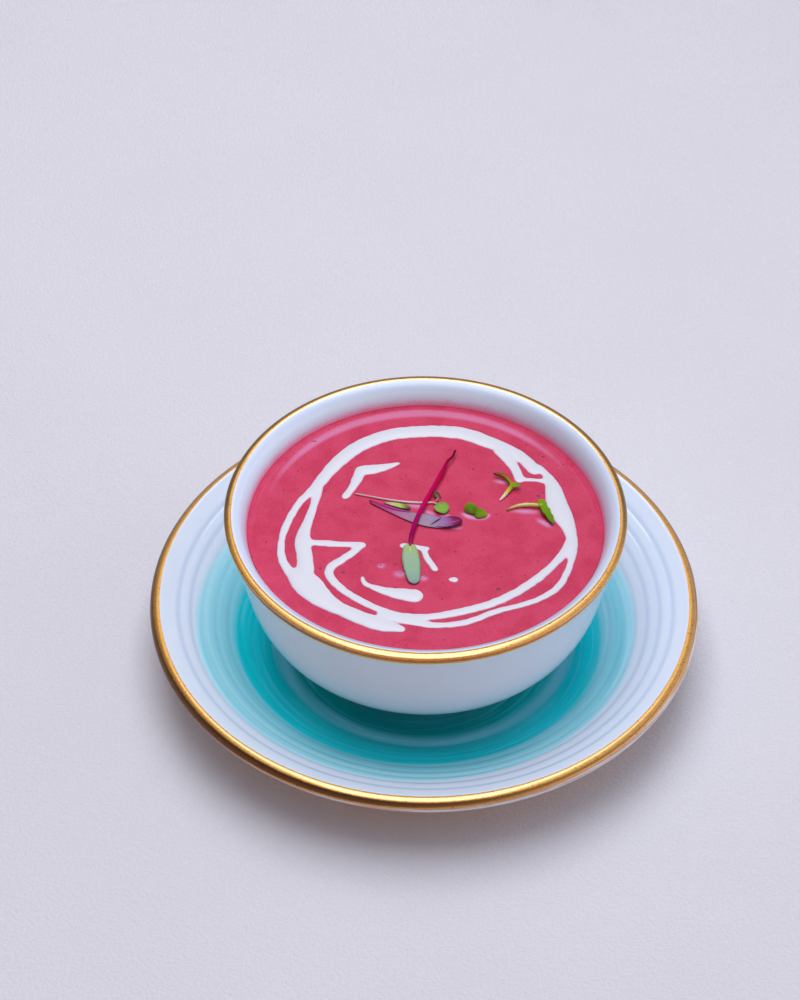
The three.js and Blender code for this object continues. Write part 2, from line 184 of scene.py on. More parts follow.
class Graph:
    """The nodes of one material or of the world."""

    def __init__(self, tree: bpy.types.NodeTree) -> None:
        """Takes over a node tree and empties it."""
        self.tree = tree
        tree.nodes.clear()

    def node(
        self,
        kind: str,
        settings: dict[str, object] | None = None,
        inputs: dict[str | int, object] | None = None,
        output: str | int = 0,
    ) -> Signal:
        """Adds a node.

        Args:
            kind: The node's type.
            settings: The node's own settings, set first. stops are a ramp's places and colours.
            inputs: Values or links of its sockets, by name or place.
            output: The output socket to return, by name or place.

        Returns:
            The chosen output, which is empty for a node without outputs.
        """
        made = self.tree.nodes.new(kind)
        for name, setting in (settings or {}).items():
            if name == "stops":
                self.fill_ramp(made.color_ramp, setting)
            else:
                setattr(made, name, setting)
        for name, given in (inputs or {}).items():
            if isinstance(given, Signal):
                self.tree.links.new(given.socket, made.inputs[name])
            else:
                made.inputs[name].default_value = given
        return Signal(self, made.outputs[output] if len(made.outputs) else None)

    @staticmethod
    def fill_ramp(ramp: bpy.types.ColorRamp, rows: Stops) -> None:
        """Gives a colour ramp its stops.

        Args:
            ramp: The ramp of a new node, with two stops.
            rows: The places and colours of its stops, two or more.
        """
        while len(ramp.elements) < len(rows):
            ramp.elements.new(1.0)
        for element, (place, colour) in zip(ramp.elements, rows):
            element.position = place
            element.color = colour

    def value(self, name: Value) -> Signal:
        """A value that the mesh holds per point."""
        return self.node("ShaderNodeAttribute", {"attribute_name": name.value}, output="Fac")

    @cached_property
    def place(self) -> Signal:
        """Where the surface is, in millimetres."""
        metres = self.node("ShaderNodeTexCoord", output="Object")
        return self.vector("SCALE", metres, Scale=1 / MM)

    @cached_property
    def arm(self) -> Signal:
        """The level vector from the upright axis to the surface."""
        x, y, _ = self.axes(self.place)
        return self.join(x, y, 0.0)

    @cached_property
    def radius(self) -> Signal:
        """Distance of the surface from the upright axis."""
        return self.vector("LENGTH", self.arm, "Value")

    def vector(self, operation: str, first: Signal, output: str | int = 0, **inputs: object) -> Signal:
        """Adds a Vector Math node on one vector, with more inputs by name."""
        return self.node("ShaderNodeVectorMath", {"operation": operation}, {0: first, **inputs}, output)

    def axes(self, vector: Signal) -> tuple[Signal, Signal, Signal]:
        """The three parts of a vector."""
        outputs = self.node("ShaderNodeSeparateXYZ", None, {0: vector}).socket.node.outputs
        return tuple(Signal(self, outputs[i]) for i in range(3))

    def join(self, x: Signal | float, y: Signal | float, z: Signal | float) -> Signal:
        """A vector of three values."""
        return self.node("ShaderNodeCombineXYZ", None, {0: x, 1: y, 2: z})

    def mix(self, share: Signal | float, first: Signal | Colour, second: Signal | Colour) -> Signal:
        """Goes from the first colour to the second by a share from 0 to 1."""
        settings = {"data_type": "RGBA", "clamp_factor": True}
        return self.node("ShaderNodeMix", settings, {0: share, 6: first, 7: second}, 2)

    def ramp(self, place: Signal, rows: Stops) -> Signal:
        """A colour that follows a value from 0 to 1 through the stops."""
        return self.node("ShaderNodeValToRGB", {"stops": rows}, {0: place})

    def bump(self, height: Signal, strength: float, distance: float) -> Signal:
        """A normal from a height of 0 to 1 that stands for a distance in millimetres."""
        inputs = {"Height": height, "Strength": strength, "Distance": distance * MM}
        return self.node("ShaderNodeBump", None, inputs)

    def surface(self, sockets: dict[str, object]) -> None:
        """Ends the graph with a principled surface of these sockets."""
        shader = self.node("ShaderNodeBsdfPrincipled", None, sockets)
        self.node("ShaderNodeOutputMaterial", None, {0: shader})


@dataclass(frozen=True)
class Grain:
    """Soft noise: the rough size of its patches, how many finer layers it has and how strong they are."""

    size: float
    detail: float = 2.0
    roughness: float = 0.5

    def noise(self, graph: Graph, at: Signal | None = None) -> Signal:
        """The noise from 0 to 1, at the place on the surface or at a given one."""
        fineness = {"Scale": 1 / self.size, "Detail": self.detail, "Roughness": self.roughness}
        return graph.node("ShaderNodeTexNoise", None, {"Vector": at or graph.place, **fineness})


@dataclass(frozen=True, kw_only=True)
class Waver(Grain):
    """Noise that sways a value to both sides, over a whole reach."""

    reach: float

    def sway(self, graph: Graph, at: Signal | None = None) -> Signal:
        """What the value moves by, from minus half the reach to plus half of it."""
        return (self.noise(graph, at) - 0.5) * self.reach


@dataclass(frozen=True, kw_only=True)
class Mottle(Grain):
    """Patches where noise passes through a span of its values, with their strength."""

    span: Span
    strength: float = 1.0

    def mask(self, graph: Graph, at: Signal | None = None) -> Signal:
        """The patches as a mask from 0 to their strength."""
        return self.noise(graph, at).rise(*self.span) * self.strength


@dataclass(frozen=True, kw_only=True)
class Strokes(Mottle):
    """Patches drawn out round the wheel into brush strokes, shifted so that no two kinds agree."""

    stretch: float
    shift: Span = (0.0, 0.0)

    def drawn(self, graph: Graph, turn: tuple[Signal, Signal], across: Signal) -> Signal:
        """The strokes as a mask, from the way round the wheel and a place across them."""
        x, y = (part * self.stretch + shift for part, shift in zip(turn, self.shift))
        return self.mask(graph, graph.join(x, y, across))


@dataclass(frozen=True)
class Side:
    """One side of turned ware: which way it faces, where it starts and is full, and its strength."""

    way: float
    span: Span = (0.0, 1.0)
    strength: float = 1.0

    def facing(self, graph: Graph) -> Signal:
        """1 on the side that lies this way from the axis and -1 on the other side."""
        x, y, _ = graph.axes(graph.vector("NORMALIZE", graph.arm))
        return x * math.cos(math.radians(self.way)) + y * math.sin(math.radians(self.way))

    def mask(self, graph: Graph) -> Signal:
        """The side as a mask from 0 to its strength."""
        return self.facing(graph).rise(*self.span) * self.strength


@dataclass(frozen=True)
class Finish(ABC):
    """A procedural material under its own name."""

    name: str

    @abstractmethod
    def sockets(self, graph: Graph) -> dict[str, object]:
        """The principled surface's sockets, worked out in this graph."""

    def material(self) -> bpy.types.Material:
        """Makes the Blender material.

        Returns:
            The material, with all its nodes.
        """
        material = bpy.data.materials.new(self.name)
        material.use_nodes = True
        graph = Graph(material.node_tree)
        graph.surface(self.sockets(graph))
        return material


@dataclass(frozen=True)
class GoldLustre:
    """Gold brushed over the glaze of a rim: where it lies along the profile, and how it looks there.

    Places along the profile are distances from the rim's crest, outwards.
    """

    inner: float
    outer: float
    sway: float
    sway_way: float
    shade: Colour
    shade_span: Span
    overtone: Colour
    # Painted reflection of the bright floor, lighter along the gold's lower edge
    edge: Colour
    edge_span: Span
    edge_reach: Span
    low_metallic: float
    dim_reflection_span: Span
    dim_reflection_strength: float = 1.0
    shade_least: float = 1.0
    inner_sway: float = 0.0
    deep_strength: float = 0.0
    waver: Waver = Waver(3.0, reach=0.24)
    inner_blur: Span = (-0.05, 0.05)
    outer_blur: Span = (-0.07, 0.07)
    back: Side = Side(90.0, (-0.2, 0.8))
    colour: Colour = shown(228, 166, 68)
    worn: Colour = shown(170, 112, 36)
    worn_spots: Mottle = Mottle(0.45, 3.0, 0.6, span=(0.5, 0.75), strength=0.8)
    fleck: Colour = shown(92, 66, 26)
    fleck_spots: Mottle = Mottle(0.81, 3.0, 0.7, span=(0.56, 0.68), strength=0.6)
    shade_side: Side = Side(225.0, (0.2, 1.0))
    shade_waver: Waver = Waver(1.2, 3.0, 0.6, reach=0.5)
    # Spots of a darker tone in the dark low band
    shade_spots: Mottle = Mottle(0.9, 3.0, 0.65, span=(0.5, 0.7), strength=0.6)
    # Painted shade: the dark low band darker still on the bowl's left
    deep: Colour = shown(112, 66, 12)
    deep_side: Side = Side(188.0, (0.2, 0.9))
    # Painted dim reflection on the outside of the rim at the back and sides, in patches
    dim_reflection: Colour = shown(106, 80, 36)
    tarnish_side: Side = Side(90.0, (-0.5, 0.15))
    dim_reflection_cover: float = 0.95
    dim_reflection_waver: Waver = Waver(0.675, 3.0, 0.6, reach=0.7)
    metallic: float = 0.86
    roughness: float = 0.32
    brush: Grain = Grain(0.72)
    brush_roughness: float = 0.16
    brush_marks: Grain = Grain(0.45, 2.0, 0.6)

    def run(self, graph: Graph) -> Signal:
        """Place along the profile, with a hand-painted waver."""
        return graph.value(Value.RIM) + self.waver.sway(graph)

    def limit(self, graph: Graph) -> Signal:
        """How far down the outside the gold reaches, further on one side."""
        return self.outer + Side(self.sway_way).facing(graph) * self.sway

    def mask(self, graph: Graph) -> Signal:
        """Tells the gold from the glaze.

        Args:
            graph: The ware's nodes.

        Returns:
            1 on the gold and 0 off it.
        """
        run = self.run(graph)
        inward = run - self.inner - self.back.mask(graph) * self.inner_sway
        spare = self.limit(graph) - run
        return inward.rise(*self.inner_blur) * spare.rise(*self.outer_blur)

    def dull(self, graph: Graph) -> Signal:
        """Finds where the gold gets a painted dim reflection: on the outside of the rim, at the back and
        sides.

        Args:
            graph: The ware's nodes.

        Returns:
            The share of the painted dim reflection.
        """
        outside = self.run(graph).rise(*self.dim_reflection_span) * self.dim_reflection_strength
        spotted = self.dim_reflection_cover + self.dim_reflection_waver.sway(graph)
        return self.tarnish_side.mask(graph) * outside * spotted

    def low(self, graph: Graph) -> Signal:
        """Finds where the gold turns dark: low on the outside, and more on one side. On the bowl this is a
        painted reflection.

        Args:
            graph: The ware's nodes.

        Returns:
            The share of the dark.
        """
        ragged = self.run(graph) + self.shade_waver.sway(graph)
        share = self.shade_least + self.shade_side.mask(graph) * (1 - self.shade_least)
        return ragged.rise(*self.shade_span) * share

    def tone(self, graph: Graph) -> Signal:
        """Colours the gold: worn in spots, dark low on the outside, lighter at its lower edge by painted
        reflection, and flecked.

        Args:
            graph: The ware's nodes.

        Returns:
            The gold's colour.
        """
        gold = graph.mix(self.worn_spots.mask(graph), self.colour, self.worn)
        dark = graph.mix(self.shade_spots.mask(graph), self.shade, self.overtone)
        # Painted shade on the left of the dark low band
        turned_away = self.deep_side.mask(graph) * self.deep_strength
        shaded = graph.mix(self.low(graph), gold, graph.mix(turned_away, dark, self.deep))
        limit = self.limit(graph)
        # Painted reflection of the floor along the lower edge
        last = (limit - self.run(graph)).fall(*self.edge_span) * limit.fall(*self.edge_reach)
        edged = graph.mix(last, shaded, self.edge)
        # Painted dim reflection at the back and sides
        dimmed_gold = graph.mix(self.dull(graph), edged, self.dim_reflection)
        return graph.mix(self.fleck_spots.mask(graph), dimmed_gold, self.fleck)

    def metal(self, graph: Graph) -> Signal:
        """How metallic the gold is, less on its dark low band."""
        return self.metallic - self.low(graph) * (self.metallic - self.low_metallic)

    def gloss(self, graph: Graph) -> Signal:
        """The gold's roughness, uneven from the brush."""
        return self.roughness + self.brush.noise(graph) * self.brush_roughness

    def relief(self, graph: Graph) -> Signal:
        """Height of the brush marks, from 0 to 1."""
        return self.brush_marks.noise(graph)


@dataclass(frozen=True)
class WareFinish(Finish):
    """White glaze with a gold rim. Its kinds add their own colours."""

    gold: GoldLustre
    white: Colour = shown(219, 227, 240)
    cloud: Colour = shown(214, 223, 237)
    clouds: Grain = Grain(9.0)
    roughness: float = 0.035
    dulled: Grain = Grain(14.0)
    dulled_roughness: float = 0.03
    ripples: Grain = Grain(5.0, 1.0)
    relief_strength: float = 0.2
    relief_height: float = 0.03
    coat_roughness: float = 0.12
    coat_index: float = 1.9

    @abstractmethod
    def glaze(self, graph: Graph, white: Signal) -> Signal:
        """The colour of the glaze, from its plain white."""

    def gloss(self, graph: Graph) -> Signal:
        """The glaze's roughness."""
        return self.roughness + self.dulled.noise(graph) * self.dulled_roughness

    def sockets(self, graph: Graph) -> dict[str, object]:
        """Lays glaze and gold side by side, told apart by the gold's mask.

        Args:
            graph: The ware's nodes.

        Returns:
            The surface's sockets.
        """
        gold = self.gold.mask(graph)
        white = graph.mix(self.clouds.noise(graph), self.white, self.cloud)
        gloss = self.gloss(graph)
        height = self.gold.relief(graph) * gold + self.ripples.noise(graph) * (1 - gold)
        return {
            "Base Color": graph.mix(gold, self.glaze(graph, white), self.gold.tone(graph)),
            "Metallic": gold * self.gold.metal(graph),
            "Roughness": gloss + (self.gold.gloss(graph) - gloss) * gold,
            "Coat Weight": gold * (1 - self.gold.low(graph)),
            "Coat Roughness": self.coat_roughness,
            "Coat IOR": self.coat_index,
            "Normal": graph.bump(height, self.relief_strength, self.relief_height),
        }


@dataclass(frozen=True)
class BowlFinish(WareFinish):
    """The bowl's glaze, with painted shade inside that is deepest at the front, painted light on the inside
    at the back, and a pink tint and painted lavender shade just above the soup.

    Heights that end in rise are counted from the soup's line on the wall.
    """

    white: Colour = shown(220, 229, 249)
    inner_span: Span = (-2.0, -0.6)
    # Painted shade: the inside is darker than the white outside
    shaded_inner_white: Colour = shown(198, 208, 231)
    inner_roughness: float = 0.24
    # Painted shade on the front of the inside
    front: Colour = shown(150, 158, 190)
    front_side: Side = Side(-90.0, (0.3, 1.0), 0.75)
    # Painted light on the back of the inside, fading out towards the lip
    back_light: Colour = shown(216, 236, 255)
    cool_side: Side = Side(118.0, (0.2, 0.85))
    back_light_height: Span = (54.4, 57.0)
    soup_line: float = 50.5
    line_waver: Waver = Waver(4.0, reach=0.9)
    # Painted shade just above the soup, stronger on the back right
    lavender: Colour = shown(196, 186, 236)
    lavender_rise: Span = (0.0, 4.0)
    lavender_strength: float = 0.25
    lavender_side: Side = Side(35.0, (0.1, 1.0), 0.3)
    # Pink on the inner wall just above the soup line
    overtone: Colour = shown(232, 104, 152)
    overtone_waver: Waver = Waver(0.7, 3.0, 0.6, reach=1.8)
    overtone_rise: Span = (-0.3, 2.9)
    overtone_strength: float = 0.8

    def inside(self, graph: Graph) -> Signal:
        """1 on the inner wall and 0 outside the lip."""
        return graph.value(Value.RIM).fall(*self.inner_span)

    def gloss(self, graph: Graph) -> Signal:
        """The glaze's roughness, softer inside."""
        return super().gloss(graph) + self.inside(graph) * self.inner_roughness

    def glaze(self, graph: Graph, white: Signal) -> Signal:
        """Colours the wall: white outside; inside, painted shade and light, and a pink tint and painted
        shade above the soup.

        Args:
            graph: The bowl's nodes.
            white: The plain white outside.

        Returns:
            The glaze's colour.
        """
        _, _, height = graph.axes(graph.place)
        inside = self.inside(graph)
        # Painted light on the back of the inside
        back_light = self.cool_side.mask(graph) * height.fall(*self.back_light_height)
        back = graph.mix(back_light, self.shaded_inner_white, self.back_light)
        # Painted shade inside, deepest at the front
        wall = graph.mix(inside, white, graph.mix(self.front_side.mask(graph), back, self.front))
        over = height + self.line_waver.sway(graph) - self.soup_line
        # Painted lavender shade just above the soup
        cast = over.fall(*self.lavender_rise) * (self.lavender_strength + self.lavender_side.mask(graph))
        tinted = graph.mix(cast * inside, wall, self.lavender)
        near = (over + self.overtone_waver.sway(graph)).fall(*self.overtone_rise) * self.overtone_strength
        return graph.mix(near * inside, tinted, self.overtone)


@dataclass(frozen=True)
class SaucerFinish(WareFinish):
    """The saucer's glaze: rings of teal brushed on the wheel, paler outwards, on white.

    The rings' radii are counted from their own middle, which is a little off the axis.
    """

    centre: tuple[float, float] = (-1.8, -2.9)
    reach: float = 80.0
    rings: Stops = stops(
        (0.0, 0, 178, 172), (36.5, 0, 182, 178), (39.5, 0, 206, 208), (44.0, 0, 224, 230),
        (48.0, 0, 234, 243), (52.9, 0, 230, 240), (54.4, 144, 227, 240), (62.6, 168, 227, 240),
        (64.6, 216, 227, 239),
    )
    waver: Waver = Waver(2.0, reach=1.6)
    waver_stretch: float = 2.0
    drift: Side = Side(225.0, (0.0, 1.0), 1.3)
    drift_span: Span = (56.0, 62.0)
    pale_span: Span = (53.6, 55.1)
    white_span: Span = (63.2, 64.8)
    streak: Colour = shown(182, 232, 243)
    streaks: Strokes = Strokes(1.7, 1.0, span=(0.5, 0.72), strength=0.4, stretch=0.8)
    dark: Colour = shown(0, 204, 218)
    darks: Strokes = Strokes(1.9, 1.0, span=(0.5, 0.75), strength=0.28, stretch=2.0, shift=(7.0, 3.0))
    line: Colour = shown(96, 230, 240)
    lines: Strokes = Strokes(0.9, span=(0.47, 0.66), strength=0.6, stretch=1.2, shift=(4.0, 0.0))
    # Painted shade over the teal at the front, which also dims the light lines there
    front: Colour = shown(0, 120, 140)
    front_side: Side = Side(-90.0, (0.72, 1.0))
    front_span: Span = (53.0, 65.0)
    front_strength: float = 0.26
    front_line_loss: float = 0.6
    # Painted reflection of the bowl's wall: a paler, streaked ring in the fold of the flange
    fold: Colour = shown(142, 236, 250)
    fold_start: Span = (39.4, 42.4)
    fold_end: Span = (43.8, 45.6)
    fold_least: float = 0.7
    fold_reflection_streaks: Strokes = Strokes(1.1, span=(0.36, 0.62), strength=0.3, stretch=1.5, shift=(0.0, 5.0))
    # Painted shade in the thrown grooves, deeper where they are deeper
    groove: Colour = shown(190, 204, 226)
    groove_strength: float = 0.75
    smear: Colour = shown(196, 146, 98)
    smear_start: Span = (-0.1, 0.0)
    smear_end: Span = (1.0, 1.5)
    smear_strokes: Strokes = Strokes(0.6, span=(0.4, 0.56), strength=0.8, stretch=3.0)

    def glaze(self, graph: Graph, white: Signal) -> Signal:
        """Colours the upper face with teal and, outside it, white with painted shade in its grooves, and the
        lower face white.

        Args:
            graph: The saucer's nodes.
            white: The plain white.

        Returns:
            The glaze's colour.
        """
        x, y, _ = graph.axes(graph.place)
        arm = graph.join(x - self.centre[0], y - self.centre[1], 0.0)
        radius = graph.vector("LENGTH", arm, "Value")
        turn = graph.axes(graph.vector("NORMALIZE", arm))[:2]
        wheel = graph.join(turn[0] * self.waver_stretch, turn[1] * self.waver_stretch, radius)
        ragged = radius + self.waver.sway(graph, wheel)
        outward = ragged - self.drift.mask(graph) * ragged.rise(*self.drift_span)
        shares = tuple((distance / self.reach, colour) for distance, colour in self.rings)
        rings = graph.ramp(outward / self.reach, shares)
        teal = self.brushed(graph, rings, turn, radius, ragged.rise(*self.pale_span))
        # Painted shade in the grooves of the white
        grooved = graph.mix(graph.value(Value.TINT) * self.groove_strength, white, self.groove)
        painted = graph.mix(outward.rise(*self.white_span), teal, grooved)
        return graph.mix(graph.value(Value.TOP), self.smeared(graph, white, turn), painted)

    def brushed(
        self, graph: Graph, rings: Signal, turn: tuple[Signal, Signal], radius: Signal, pale: Signal
    ) -> Signal:
        """Draws the brush's strokes into the teal, paints shade over its front and a pale reflection into
        the flange's fold.

        Args:
            graph: The saucer's nodes.
            rings: The plain rings of teal.
            turn: The way round the rings' middle.
            radius: The distance from the rings' middle.
            pale: 1 on the pale outer rings.

        Returns:
            The teal's colour.
        """
        streaked = graph.mix(self.streaks.drawn(graph, turn, radius) * pale, rings, self.streak)
        deeper = graph.mix(self.darks.drawn(graph, turn, radius), streaked, self.dark)
        # Painted shade at the front
        ahead = self.front_side.mask(graph)
        shine = self.lines.drawn(graph, turn, radius) * (1 - pale) * (1 - ahead * self.front_line_loss)
        lined = graph.mix(shine, deeper, self.line)
        dimmed = graph.mix(ahead * radius.fall(*self.front_span) * self.front_strength, lined, self.front)
        # Painted reflection in the fold of the flange
        band = graph.radius.rise(*self.fold_start) * graph.radius.fall(*self.fold_end)
        strokes = self.fold_least + self.fold_reflection_streaks.drawn(graph, turn, radius)
        return graph.mix(band * strokes, dimmed, self.fold)

    def smeared(self, graph: Graph, white: Signal, turn: tuple[Signal, Signal]) -> Signal:
        """Smears some gold past its lower edge onto the underside.

        Args:
            graph: The saucer's nodes.
            white: The plain white.
            turn: The way round the rings' middle.

        Returns:
            The underside's colour.
        """
        run = self.gold.run(graph)
        past = run - self.gold.limit(graph)
        beyond = past.rise(*self.smear_start) * past.fall(*self.smear_end)
        return graph.mix(beyond * self.smear_strokes.drawn(graph, turn, run), white, self.smear)


@dataclass(frozen=True)
class SoupFinish(Finish):
    """Pureed beet soup: even pink with fine grain and dark specks, and pale patches of cream and painted
    reflections.
    """

    body: Colour = shown(209, 68, 102)
    deep: Colour = shown(194, 48, 82)
    clouds: Mottle = Mottle(7.0, 3.0, span=(0.35, 0.7), strength=0.6)
    grain: Mottle = Mottle(0.5, 2.0, 0.6, span=(0.35, 0.7), strength=0.5)
    # Pale pink: partly thin cream, partly painted reflections of the light beside the sprouts and along the
    # back wall
    film: Colour = shown(220, 160, 206)
    speck: Colour = shown(120, 24, 52)
    speck_size: Span = (0.07, 0.17)
    speck_density: float = 0.42
    speck_groups: Mottle = Mottle(2.4, 1.0, span=(0.56, 0.62), strength=0.75)
    roughness: float = 0.05
    grain_roughness: float = 0.08
    relief_strength: float = 0.12
    relief_height: float = 0.03

    def sockets(self, graph: Graph) -> dict[str, object]:
        """Mottles the pink, specks it and lays over it the pale patches, partly thin cream and partly
        painted reflections.

        Args:
            graph: The soup's nodes.

        Returns:
            The surface's sockets.
        """
        body = graph.mix(self.clouds.mask(graph) + self.grain.mask(graph), self.body, self.deep)
        layout = {"Vector": graph.place, "Scale": self.speck_density}
        cells = graph.node("ShaderNodeTexVoronoi", None, layout, "Distance")
        specked = graph.mix(cells.fall(*self.speck_size) * self.speck_groups.mask(graph), body, self.speck)
        grain = self.grain.noise(graph)
        return {
            "Base Color": graph.mix(graph.value(Value.FILM_AND_GLINT), specked, self.film),
            "Roughness": self.roughness + grain * self.grain_roughness,
            "Normal": graph.bump(grain, self.relief_strength, self.relief_height),
        }


@dataclass(frozen=True)
class CreamFinish(Finish):
    """Cream, white where it lies thick and pink where its edge thins out over the soup."""

    white: Colour = shown(214, 214, 222)
    cloud: Colour = shown(211, 202, 215)
    clouds: Mottle = Mottle(4.0, 3.0, span=(0.55, 0.8), strength=0.35)
    thin: Colour = shown(216, 160, 186)
    thin_span: Span = (0.05, 0.55)
    thin_strength: float = 0.85
    thin_waver: Waver = Waver(1.5, reach=0.2)
    roughness: float = 0.3
    cloud_roughness: float = 0.15
    lumps: Grain = Grain(2.0)
    relief_strength: float = 0.2
    relief_height: float = 0.06

    def sockets(self, graph: Graph) -> dict[str, object]:
        """Turns the white pink towards the edge.

        Args:
            graph: The cream's nodes.

        Returns:
            The surface's sockets.
        """
        core = graph.value(Value.CORE) + self.thin_waver.sway(graph)
        white = graph.mix(self.clouds.mask(graph), self.white, self.cloud)
        return {
            "Base Color": graph.mix(core.fall(*self.thin_span) * self.thin_strength, white, self.thin),
            "Roughness": self.roughness + self.clouds.noise(graph) * self.cloud_roughness,
            "Normal": graph.bump(self.lumps.noise(graph), self.relief_strength, self.relief_height),
        }


@dataclass(frozen=True)
class LeafFinish(Finish):
    """A seedling's leaf: colours along it, a rim, and a midrib with side veins."""

    blade: Stops
    rim: Colour
    rib: Colour
    rim_start: float = 0.72
    rim_strength: float = 0.7
    rim_waver: float = 0.3
    rim_from: Span = (-1.0, -0.7)
    rib_span: Span = (0.02, 0.08)
    rib_end: Span = (0.6, 1.0)
    rib_strength: float = 0.8
    vein_count: float = 9.0
    vein_slant: float = 0.08
    vein_span: Span = (0.8, 1.0)
    vein_end: Span = (0.5, 0.95)
    vein_strength: float = 0.25
    blotches: Grain = Grain(1.1, 3.0)
    blotch_shift: float = 0.12
    blotch_roughness: float = 0.15
    roughness: float = 0.38
    specular: float = 0.09
    relief_strength: float = 0.3
    relief_height: float = 0.08

    def sockets(self, graph: Graph) -> dict[str, object]:
        """Colours the blade by the place along and across it.

        Args:
            graph: The leaf's nodes.

        Returns:
            The surface's sockets.
        """
        along = graph.value(Value.ALONG)
        aside = abs(graph.value(Value.ACROSS))
        blotch = self.blotches.noise(graph)
        blade = graph.ramp(along + (blotch - 0.5) * self.blotch_shift, self.blade)
        ridges = ((along - aside * self.vein_slant) * self.vein_count * math.tau).sine()
        veins = ridges.rise(*self.vein_span) * aside.fall(*self.vein_end) * self.vein_strength
        veined = graph.mix(veins, blade, self.rib)
        edge = (aside + (blotch - 0.5) * self.rim_waver).rise(self.rim_start, 1.0)
        rimmed = graph.mix(edge * along.rise(*self.rim_from) * self.rim_strength, veined, self.rim)
        midrib = aside.fall(*self.rib_span) * along.fall(*self.rib_end)
        return {
            "Base Color": graph.mix(midrib * self.rib_strength, rimmed, self.rib),
            "Roughness": self.roughness + blotch * self.blotch_roughness,
            "Specular IOR Level": self.specular,
            "Normal": graph.bump(blotch + veins, self.relief_strength, self.relief_height),
        }


@dataclass(frozen=True)
class StemFinish(Finish):
    """A seedling's stem: colours along it, with fine streaks that run with it."""

    skin: Stops
    streak: Colour
    streaks: Mottle = Mottle(0.5, span=(0.55, 0.75), strength=0.3)
    streaks_across: float = 3.0
    streaks_along: float = 4.0
    roughness: float = 0.32
    spots: Grain = Grain(0.6)
    spot_roughness: float = 0.12
    specular: float = 0.03
    relief_strength: float = 0.2
    relief_height: float = 0.05

    def sockets(self, graph: Graph) -> dict[str, object]:
        """Colours the stem by the place along it.

        Args:
            graph: The stem's nodes.

        Returns:
            The surface's sockets.
        """
        along = graph.value(Value.ALONG)
        across = graph.value(Value.ACROSS)
        lines = graph.join(across * self.streaks_across, along * self.streaks_along, 0.0)
        skin = graph.ramp(along, self.skin)
        return {
            "Base Color": graph.mix(self.streaks.mask(graph, lines), skin, self.streak),
            "Roughness": self.roughness + self.spots.noise(graph) * self.spot_roughness,
            "Specular IOR Level": self.specular,
            "Normal": graph.bump(self.streaks.noise(graph, lines), self.relief_strength, self.relief_height),
        }


@dataclass(frozen=True)
class BitFinish(Finish):
    """Small bits on the soup, darker or paler from one to the next."""

    first: Colour
    second: Colour
    roughness: float
    grain: Waver = Waver(0.3, reach=0.3)
    grain_roughness: float = 0.1

    def sockets(self, graph: Graph) -> dict[str, object]:
        """Gives a bit one of two colours, or one between them, by its own tint.

        Args:
            graph: The bits' nodes.

        Returns:
            The surface's sockets.
        """
        colour = graph.mix(graph.value(Value.TINT) + self.grain.sway(graph), self.first, self.second)
        return {
            "Base Color": colour,
            "Roughness": self.roughness + self.grain.noise(graph) * self.grain_roughness,
        }


@dataclass
class Patch:
    """A mesh in the making: points in millimetres, faces, and values per point for the finish."""

    points: np.ndarray
    faces: list[tuple[int, ...]]
    values: dict[Value, np.ndarray] = field(default_factory=dict)


def smooth_rise(values: np.ndarray, low: float, high: float) -> np.ndarray:
    """A smooth step from 0 at low to 1 at high."""
    share = np.clip((values - low) / (high - low), 0, 1)
    return share * share * (3 - 2 * share)


def waves(x: np.ndarray, y: np.ndarray, rows: Keys) -> np.ndarray:
    """The sum of waves, each with its height, radians per millimetre along X and along Y, and shift."""
    return sum(height * np.sin(x * along + y * aside + shift) for height, along, aside, shift in rows)


def unit(rows: np.ndarray) -> np.ndarray:
    """Rows of vectors, each made 1 long."""
    return rows / np.linalg.norm(rows, axis=1)[:, None]


def run_length(line: np.ndarray) -> np.ndarray:
    """Distance along a line of points, from its first point."""
    return np.concatenate([[0], np.cumsum(np.linalg.norm(np.diff(line, axis=0), axis=1))])


def sideways(spine: np.ndarray) -> tuple[np.ndarray, np.ndarray]:
    """Finds the directions across a line of points.

    Args:
        spine: The line's points.

    Returns:
        At each point the level direction to its right, and the one that points up from it.
    """
    along = np.gradient(spine, axis=0)
    right = unit(np.cross(along, [0, 0, 1]))
    return right, unit(np.cross(right, along))


def curve_through(keys: Keys, count: int) -> np.ndarray:
    """Follows a smooth curve through keys of any number of columns.

    Args:
        keys: The points that the curve goes through.
        count: How many points to return.

    Returns:
        Points on the curve, evenly spread over the stretches between keys.
    """
    rows = np.array(keys, float)
    padded = np.vstack([2 * rows[0] - rows[1], rows, 2 * rows[-1] - rows[-2]])
    gaps = np.maximum(np.linalg.norm(np.diff(padded, axis=0), axis=1) ** 0.5, TINY)[:, None]
    slopes = np.diff(padded, axis=0) / gaps
    reach = (padded[2:] - padded[:-2]) / (gaps[:-1] + gaps[1:])
    tangents = slopes[:-1] - reach + slopes[1:]
    spread = np.linspace(0, len(rows) - 1, count)
    at = np.minimum(spread.astype(int), len(rows) - 2)
    t = (spread - at)[:, None]
    start = tangents[at] * gaps[at + 1]
    end = tangents[at + 1] * gaps[at + 1]
    first = rows[at]
    second = rows[at + 1]
    bend = 2 * first - 2 * second + start + end
    sway = -3 * first + 3 * second - 2 * start - end
    return ((bend * t + sway) * t + start) * t + first


def bezier(points: list[tuple[float, float]], count: int) -> np.ndarray:
    """Follows a Bezier curve, by drawing the line between neighbours again and again.

    Args:
        points: The curve's control points.
        count: How many points to return.

    Returns:
        Points on the curve.
    """
    t = np.linspace(0, 1, count)[:, None, None]
    row = np.array(points, float)[None]
    while row.shape[1] > 1:
        row = row[:, :-1] * (1 - t) + row[:, 1:] * t
    return row[:, 0]


